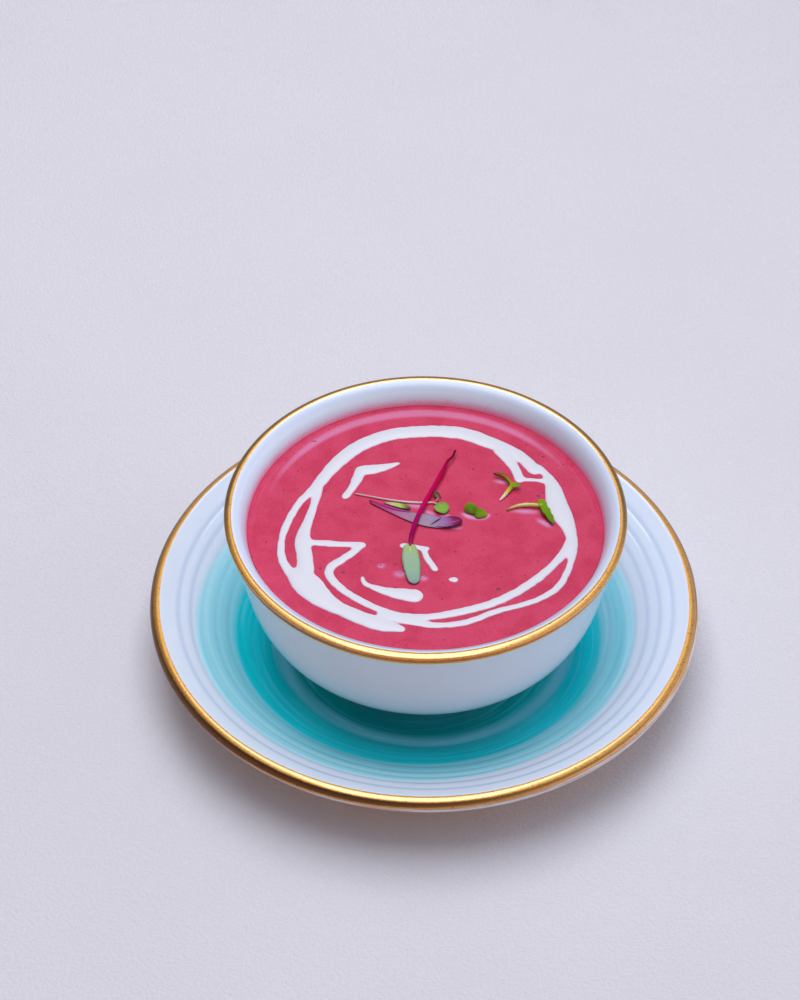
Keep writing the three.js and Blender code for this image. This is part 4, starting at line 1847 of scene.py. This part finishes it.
def cress_green(name: str, base: Shade, middle: Shade, tip: Shade) -> LeafFinish:
    """Makes a cress leaf's green, which runs from one colour through another to a third.

    Args:
        name: The finish's name.
        base: The colour at the leaf's base.
        middle: The colour half-way along, which the rib has too.
        tip: The colour at the leaf's tip.

    Returns:
        The finish.
    """
    blade = stops((0.0, *base), (0.5, *middle), (1.0, *tip))
    return LeafFinish(
        name,
        blade,
        # A lighter rim, a painted highlight along the leaf's edges
        rim=shown(132, 170, 20),
        rib=shown(*middle),
        rim_strength=0.15,
        vein_strength=0.1,
        roughness=0.26,
    )


@dataclass(frozen=True)
class Sprout:
    """A sprout on the soup, one piece of stems and leaves. Its kinds hold those as fields."""

    node: str
    slot: Slot

    def build(self, level: float) -> bpy.types.Object:
        """Makes the sprout and dresses it.

        Args:
            level: The soup's level.

        Returns:
            The piece.
        """
        held = [getattr(self, entry.name) for entry in fields(self)]
        parts = [part for part in held if isinstance(part, (Stem, Leaf))]
        shapes = [(part.shape(level), part.finish.material()) for part in parts]
        return make_piece(self.node + "_fresh", shapes, (self.node,))


@dataclass(frozen=True)
class BeetSprout(Sprout):
    """Magenta stem that thins to a dark root tip, and one grey-green leaf."""

    node: str = "beet_sprout"
    slot: Slot = Slot.BEET
    stem: Stem = Stem(
        (
            (8.5, 29.4, 1.5, 0.62), (7.6, 26.6, 1.5, 0.66), (6.2, 24.6, 1.5, 0.9), (4.8, 20.5, 1.5, 1.2),
            (0.4, 9.0, 1.5, 1.3), (-1.9, 2.7, 1.4, 1.35), (-3.0, -1.5, 1.35, 1.35), (-3.9, -6.0, 1.25, 1.3),
            (-4.25, -10.0, 1.1, 0.85),
        ),
        StemFinish(
            "beet_stem",
            stops(
                (0.0, 96, 6, 52), (0.14, 104, 0, 50), (0.26, 146, 0, 58), (0.42, 184, 0, 76),
                (0.56, 190, 0, 88), (0.68, 156, 0, 96), (0.88, 146, 0, 80), (0.97, 148, 30, 80),
                (1.0, 150, 80, 84),
            ),
            shown(196, 0, 98),
        ),
        steps=110,
    )
    leaf: Leaf = Leaf(
        (
            (-4.3, -9.0, 0.95, 2.4), (-4.2, -11.5, 0.95, 4.3), (-3.9, -15.0, 0.8, 5.1),
            (-3.5, -18.5, 0.6, 4.7), (-3.1, -21.8, 0.5, 3.8), (-2.8, -24.1, 0.45, 2.6),
        ),
        LeafFinish(
            "beet_leaf",
            stops(
                (0.0, 168, 180, 110), (0.16, 154, 178, 126), (0.35, 148, 176, 142), (0.65, 140, 172, 146),
                (0.86, 132, 162, 148), (1.0, 116, 140, 138),
            ),
            rim=shown(86, 110, 78),
            rib=shown(196, 198, 120),
            rib_span=(0.036, 0.144),
            rib_end=(0.18, 0.3),
            vein_strength=0.1,
        ),
        roll=4.0,
    )


@dataclass(frozen=True)
class PurpleLeaf(Sprout):
    """A long purple leaf with a rolled back edge, a cupped end and a fold."""

    node: str = "purple_leaf"
    slot: Slot = Slot.PURPLE
    blade: Leaf = Leaf(
        (
            (-16.0, 8.3, 0.45, 0.6), (-12.2, 6.2, 0.4, 1.3), (-8.2, 4.1, 0.35, 2.1), (-4.5, 2.6, 0.33, 3.5),
            (-0.4, 1.4, 0.33, 4.9), (3.4, 0.4, 0.36, 4.5), (6.6, 0.2, 0.45, 3.9), (9.4, 0.8, 0.55, 1.9),
        ),
        LeafFinish(
            "purple_leaf",
            stops(
                (0.0, 156, 44, 96), (0.18, 176, 62, 124), (0.32, 176, 106, 152), (0.46, 166, 126, 150),
                (0.52, 156, 132, 144), (0.62, 160, 138, 168), (0.74, 154, 112, 160), (0.86, 150, 84, 150),
                (1.0, 110, 20, 84),
            ),
            rim=shown(112, 92, 96),
            rib=shown(150, 132, 142),
            rim_start=0.8,
            rim_strength=0.75,
            vein_strength=0.12,
        ),
        cup=0.05,
        steps=90,
        round_start=0.05,
        round_end=0.1,
    )
    rolled_edge: Stem = Stem(
        (
            (-16.2, 8.9, 0.45, 0.5), (-13.0, 7.2, 0.55, 0.8), (-10.0, 5.8, 0.6, 0.9), (-7.0, 4.8, 0.55, 0.7),
            (-4.2, 4.3, 0.5, 0.4),
        ),
        StemFinish(
            "rolled_edge",
            stops((0.0, 128, 40, 84), (0.2, 186, 46, 120), (0.6, 178, 58, 146), (1.0, 134, 84, 124)),
            shown(204, 110, 180),
        ),
    )
    cupped_end: Leaf = Leaf(
        (
            (2.6, 0.5, 0.0, 2.2), (5.0, 0.1, 0.42, 3.9), (7.4, 0.1, 0.72, 4.1), (9.2, 0.6, 0.8, 3.1),
            (10.4, 1.2, 0.78, 1.5),
        ),
        LeafFinish(
            "cupped_end",
            stops((0.0, 164, 138, 178), (0.36, 150, 96, 150), (0.62, 132, 14, 88), (1.0, 86, 0, 56)),
            rim=shown(92, 0, 66),
            rib=shown(170, 120, 172),
            rim_start=0.5,
            rim_strength=0.95,
            rim_from=(0.25, 0.55),
            vein_strength=0.1,
        ),
        cup=0.28,
        rib_depth=0.0,
    )
    # The fold where the two halves overlap, dark with painted shade
    fold: Stem = Stem(
        ((4.5, 1.9, 0.75, 0.22), (3.2, 0.7, 0.75, 0.34), (1.6, -0.7, 0.6, 0.2)),
        StemFinish("leaf_fold", stops((0.0, 66, 60, 66), (1.0, 54, 74, 56)), shown(84, 96, 76)),
        steps=24,
    )


@dataclass(frozen=True)
class GreenLeaflet(Sprout):
    """A small folded leaf, brown-olive to green with a dark tip."""

    node: str = "green_leaflet"
    slot: Slot = Slot.CRESS
    leaf: Leaf = Leaf(
        ((-12.0, 8.1, 0.42, 0.5), (-9.4, 7.4, 0.48, 1.4), (-6.8, 6.6, 0.52, 1.8), (-4.3, 5.7, 0.55, 1.0)),
        LeafFinish(
            "leaflet",
            stops(
                (0.0, 150, 110, 92), (0.3, 196, 190, 128), (0.6, 172, 194, 98), (0.82, 88, 116, 44),
                (1.0, 54, 56, 48),
            ),
            rim=shown(84, 92, 52),
            rib=shown(168, 190, 90),
        ),
        cup=0.16,
    )


@dataclass(frozen=True)
class PaleSprout(Sprout):
    """A whitish stem with one pale round leaf and a small dark curl."""

    node: str = "pale_sprout"
    slot: Slot = Slot.PALE
    stem: Stem = Stem(
        (
            (-20.5, 11.7, 0.36, 0.42), (-15.6, 10.5, 0.34, 0.52), (-10.8, 9.4, 0.34, 0.58),
            (-6.0, 8.6, 0.34, 0.64), (-1.7, 8.3, 0.36, 0.66), (2.2, 8.3, 0.45, 0.58), (3.9, 7.2, 0.6, 0.5),
        ),
        StemFinish(
            "pale_stem",
            stops(
                (0.0, 204, 164, 164), (0.3, 214, 178, 186), (0.5, 222, 200, 204), (0.75, 220, 206, 200),
                (0.88, 212, 160, 168), (1.0, 160, 172, 104),
            ),
            shown(222, 206, 194),
        ),
        steps=90,
    )
    round_leaf: Leaf = Leaf(
        ((3.5, 7.9, 0.6, 2.5), (4.1, 6.9, 0.72, 4.1), (4.8, 5.5, 0.75, 4.3), (5.6, 3.8, 0.62, 2.7)),
        LeafFinish(
            "pale_leaf",
            stops((0.0, 110, 136, 54), (0.4, 128, 164, 66), (0.8, 124, 166, 66), (1.0, 104, 140, 54)),
            rim=shown(92, 124, 58),
            rib=shown(132, 180, 86),
            vein_strength=0.08,
        ),
        cup=0.14,
        round_start=0.32,
        round_end=0.36,
        rib_depth=0.02,
    )
    curl: Stem = Stem(
        (
            (2.9, 8.8, 0.5, 0.45), (3.5, 9.7, 0.8, 0.6), (2.6, 11.1, 1.0, 0.75), (2.9, 12.2, 1.0, 0.6),
            (3.8, 11.6, 0.9, 0.5), (4.4, 10.4, 0.7, 0.4),
        ),
        StemFinish(
            "dark_curl",
            stops((0.0, 196, 150, 150), (0.2, 124, 118, 92), (0.45, 76, 88, 60), (1.0, 112, 96, 84)),
            shown(104, 112, 82),
        ),
    )


@dataclass(frozen=True)
class CressPair(Sprout):
    """Two round cotyledons on a short stem."""

    node: str = "cress_pair"
    slot: Slot = Slot.CRESS
    left: Leaf = Leaf(
        ((13.6, 4.0, 0.45, 3.0), (13.2, 5.2, 0.9, 3.6), (12.8, 6.8, 1.0, 3.8), (12.4, 8.7, 0.4, 3.4)),
        cress_green("pair_left_leaf", (74, 98, 0), (84, 112, 0), (112, 142, 0)),
        cup=-0.26,
        round_start=0.42,
        round_end=0.48,
        rib_depth=0.02,
    )
    right: Leaf = Leaf(
        ((13.6, 4.8, 0.5, 3.0), (14.6, 4.6, 0.9, 3.8), (15.9, 4.2, 0.95, 4.0), (17.6, 3.7, 0.4, 3.4)),
        cress_green("pair_right_leaf", (76, 100, 0), (94, 124, 0), (116, 148, 4)),
        cup=-0.26,
        round_start=0.42,
        round_end=0.48,
        rib_depth=0.02,
    )
    stem: Stem = Stem(
        ((13.2, 4.0, 0.3, 0.5), (13.4, 4.3, 0.4, 0.6), (13.8, 4.9, 0.55, 0.6)),
        StemFinish("pair_stem", stops((0.0, 190, 200, 150), (1.0, 120, 160, 50)), shown(210, 214, 170)),
        steps=16,
    )


@dataclass(frozen=True)
class CressBack(Sprout):
    """A seedling with a curled leaf, maroon underneath, a small leaf and a stem that pales to its end."""

    node: str = "cress_back"
    slot: Slot = Slot.CRESS
    stem: Stem = Stem(
        (
            (21.2, 9.7, 0.35, 0.5), (22.4, 11.3, 0.5, 0.9), (23.6, 13.1, 0.8, 1.2), (24.5, 14.5, 1.1, 1.3),
            (25.0, 15.5, 1.2, 1.0),
        ),
        StemFinish(
            "back_stem",
            stops(
                (0.0, 234, 196, 206), (0.25, 222, 220, 178), (0.5, 192, 190, 70), (0.75, 142, 156, 0),
                (1.0, 110, 150, 0),
            ),
            shown(206, 206, 120),
        ),
        steps=48,
    )
    curled: Leaf = Leaf(
        ((24.9, 15.4, 1.2, 0.8), (23.9, 17.4, 1.35, 1.0), (22.2, 19.3, 1.4, 1.1), (19.4, 20.2, 1.15, 0.6)),
        LeafFinish(
            "curled_leaf",
            stops((0.0, 124, 146, 0), (0.35, 150, 112, 4), (0.7, 128, 74, 10), (1.0, 92, 52, 34)),
            rim=shown(100, 40, 34),
            rib=shown(160, 150, 40),
            rib_span=(0.036, 0.144),
        ),
        cup=0.12,
        roll=10.0,
    )
    underside: Stem = Stem(
        ((24.3, 15.9, 1.0, 0.25), (23.3, 17.4, 1.1, 0.4), (21.8, 18.9, 1.15, 0.45), (19.6, 19.9, 1.0, 0.3)),
        StemFinish("leaf_underside", stops((0.0, 96, 70, 30), (1.0, 104, 26, 40)), shown(130, 50, 50)),
        steps=36,
    )
    small: Leaf = Leaf(
        ((24.2, 15.3, 1.2, 1.6), (25.2, 15.3, 1.3, 2.1), (26.3, 15.1, 1.3, 1.4), (27.4, 14.8, 1.2, 0.6)),
        cress_green("back_small_leaf", (148, 150, 0), (112, 150, 4), (78, 132, 30)),
        cup=0.12,
    )


@dataclass(frozen=True)
class CressSide(Sprout):
    """A seedling with a long stem and one lobed leaf that is maroon underneath."""

    node: str = "cress_side"
    slot: Slot = Slot.CRESS
    stem: Stem = Stem(
        (
            (23.1, 5.8, 0.4, 0.5), (24.6, 6.6, 0.55, 0.75), (26.8, 7.4, 0.75, 0.95), (29.4, 7.6, 0.95, 1.05),
            (32.2, 7.3, 1.1, 1.05), (33.8, 7.2, 1.25, 0.9),
        ),
        StemFinish(
            "side_stem",
            stops(
                (0.0, 160, 96, 50), (0.2, 200, 168, 90), (0.5, 216, 212, 140), (0.8, 196, 204, 70),
                (1.0, 110, 164, 4),
            ),
            shown(222, 216, 150),
        ),
    )
    leaf: Leaf = Leaf(
        (
            (33.0, 9.4, 1.3, 1.4), (33.3, 8.0, 1.35, 2.2), (34.1, 5.8, 1.35, 2.3), (35.2, 3.2, 1.3, 2.0),
            (36.4, -0.2, 1.1, 0.9),
        ),
        cress_green("side_leaf", (112, 152, 0), (108, 146, 0), (84, 122, 0)),
        cup=0.12,
        wave=0.2,
    )
    underside: Stem = Stem(
        ((32.7, 6.4, 1.0, 0.25), (33.3, 4.6, 1.05, 0.5), (34.4, 2.6, 1.05, 0.5), (35.8, 0.2, 0.95, 0.25)),
        StemFinish("side_underside", stops((0.0, 92, 84, 20), (1.0, 98, 24, 36)), shown(120, 40, 44)),
        steps=36,
    )


@dataclass(frozen=True)
class FloorFinish(Finish):
    """A matt pale floor with a fine fibrous grain, and a painted warm tint in the shadow under the saucer.
    """

    pale: Colour = shown(222, 219, 225)
    grey: Colour = shown(216, 213, 220)
    patches: Grain = Grain(60.0, 3.0)
    # Painted warm tint in the shadow under the saucer
    shadow_warmth: Colour = shown(226, 196, 180)
    shadow_warmth_span: Span = (58.0, 84.0)
    roughness: float = 0.9
    fibres: Grain = Grain(1.1, 4.0, 0.65)
    relief_strength: float = 0.9
    relief_height: float = 0.6

    def sockets(self, graph: Graph) -> dict[str, object]:
        """Lays two near pale tones in soft patches and paints the shadow under the saucer warmer.

        Args:
            graph: The floor's nodes.

        Returns:
            The surface's sockets.
        """
        pale = graph.mix(self.patches.noise(graph), self.pale, self.grey)
        return {
            "Base Color": graph.mix(graph.radius.fall(*self.shadow_warmth_span), pale, self.shadow_warmth),
            "Roughness": self.roughness,
            "Normal": graph.bump(self.fibres.noise(graph), self.relief_strength, self.relief_height),
        }


@dataclass
class Studio:
    """Pale floor, soft light and the camera. Lengths are in millimetres and angles in degrees.

    The surroundings' spans are heights on a sphere of radius 1.
    """

    floor_half: float = 4000.0
    floor_finish: FloorFinish = FloorFinish("floor")
    camera_place: tuple[float, float, float] = (0.0, -554.5, 601.9)
    camera_yaw: float = -0.75
    camera_pitch: float = 44.31
    camera_roll: float = 0.34
    focal_pixels: float = 2744.0
    image_height: float = 1000.0
    sensor: float = 36.0
    softbox_place: tuple[float, float, float] = (-25.0, 150.0, 1000.0)
    softbox_size: tuple[float, float] = (660.0, 1060.0)
    softbox_watts: float = 8.4
    softbox_colour: tuple[float, float, float] = (0.95, 0.98, 1.06)
    low: float = 0.5
    low_right: float = 1.75
    low_end: Span = (0.22, 0.46)
    middle: float = 0.04
    middle_back: float = 0.25
    middle_right: float = 0.4
    high: float = 0.5
    high_start: Span = (0.64, 0.9)
    air: Colour = (0.96, 0.98, 1.06, 1.0)
    haze: Colour = (1.3, 0.9, 0.58, 1.0)
    haze_end: Span = (0.2, 0.5)

    def build(self) -> None:
        """Makes the floor, the light, the surroundings and the camera."""
        self.floor()
        self.softbox()
        self.surroundings()
        self.camera()
        bpy.context.scene.view_settings.view_transform = "Standard"

    def floor(self) -> None:
        """A wide flat floor under the foot."""
        half = self.floor_half * MM
        mesh = bpy.data.meshes.new("floor")
        corners = [(-half, -half, 0), (half, -half, 0), (half, half, 0), (-half, half, 0)]
        mesh.from_pydata(corners, [], [(0, 1, 2, 3)])
        mesh.materials.append(self.floor_finish.material())
        floor = bpy.data.objects.new("floor", mesh)
        bpy.context.scene.collection.objects.link(floor)

    def softbox(self) -> None:
        """One large soft light overhead, a little behind the bowl and tipped towards it."""
        light = bpy.data.lights.new("softbox", "AREA")
        light.shape = "RECTANGLE"
        light.size, light.size_y = (side * MM for side in self.softbox_size)
        light.energy = self.softbox_watts
        light.color = self.softbox_colour
        lamp = bpy.data.objects.new("softbox", light)
        lamp.location = Vector(self.softbox_place) * MM
        lamp.rotation_euler.x = -math.atan2(lamp.location.y, lamp.location.z)
        bpy.context.scene.collection.objects.link(lamp)

    def surroundings(self) -> None:
        """Dim surroundings: pale walls low down, brightest to the right, dark above and pale overhead."""
        world = bpy.data.worlds.new("surroundings")
        world.use_nodes = True
        bpy.context.scene.world = world
        graph = Graph(world.node_tree)
        x, y, up = graph.axes(graph.node("ShaderNodeTexCoord", output="Generated"))
        level = x * x + y * y + TINY
        right = x.rise(0.0, 1.0) * x / level
        back = y.rise(0.0, 1.0) * y / level
        low = self.low + (self.low_right - self.low) * right
        middle = self.middle + self.middle_back * back + self.middle_right * right
        walls = low + (middle - low) * up.rise(*self.low_end)
        strength = walls + (self.high - walls) * up.rise(*self.high_start)
        colour = graph.mix(up.rise(*self.haze_end) + right, self.haze, self.air)
        sky = graph.node("ShaderNodeBackground", None, {"Color": colour, "Strength": strength})
        graph.node("ShaderNodeOutputWorld", None, {0: sky})

    def camera(self) -> None:
        """The camera at the photograph's viewing angle."""
        yaw, pitch, roll = (math.radians(a) for a in (self.camera_yaw, self.camera_pitch, self.camera_roll))
        ahead = Vector((math.sin(yaw) * math.cos(pitch), math.cos(yaw) * math.cos(pitch), -math.sin(pitch)))
        level_right = ahead.cross(Vector((0, 0, 1))).normalized()
        plain_up = level_right.cross(ahead)
        right = level_right * math.cos(roll) + plain_up * math.sin(roll)
        up = plain_up * math.cos(roll) - level_right * math.sin(roll)
        data = bpy.data.cameras.new("camera")
        data.sensor_width = self.sensor
        data.lens = self.focal_pixels / self.image_height * self.sensor
        camera = bpy.data.objects.new("camera", data)
        turn = Matrix((right, up, -ahead)).transposed().to_4x4()
        camera.matrix_world = Matrix.Translation(Vector(self.camera_place) * MM) @ turn
        bpy.context.scene.collection.objects.link(camera)
        bpy.context.scene.camera = camera


def main() -> None:
    """Builds every piece in order and reports it."""
    logging.basicConfig(level=logging.INFO, format="%(message)s")
    Studio().build()
    bowl = Bowl()
    soup = Soup(bowl)
    pieces = [Saucer().build(), bowl.build(), *soup.build()]
    cream = CreamFinish("cream").material()
    for node in ("cream_swirl", "cream_hook", "cream_comma", "cream_tick", "cream_dot"):
        pieces.append(Cream(node, soup).build(cream))
    for kind in (BeetSprout, PurpleLeaf, GreenLeaflet, PaleSprout, CressPair, CressBack, CressSide):
        pieces.append(kind().build(soup.level))
    for piece in pieces:
        LOG.info("%s: %d faces", piece.name, len(piece.data.polygons))


if __name__ == "__main__":
    main()
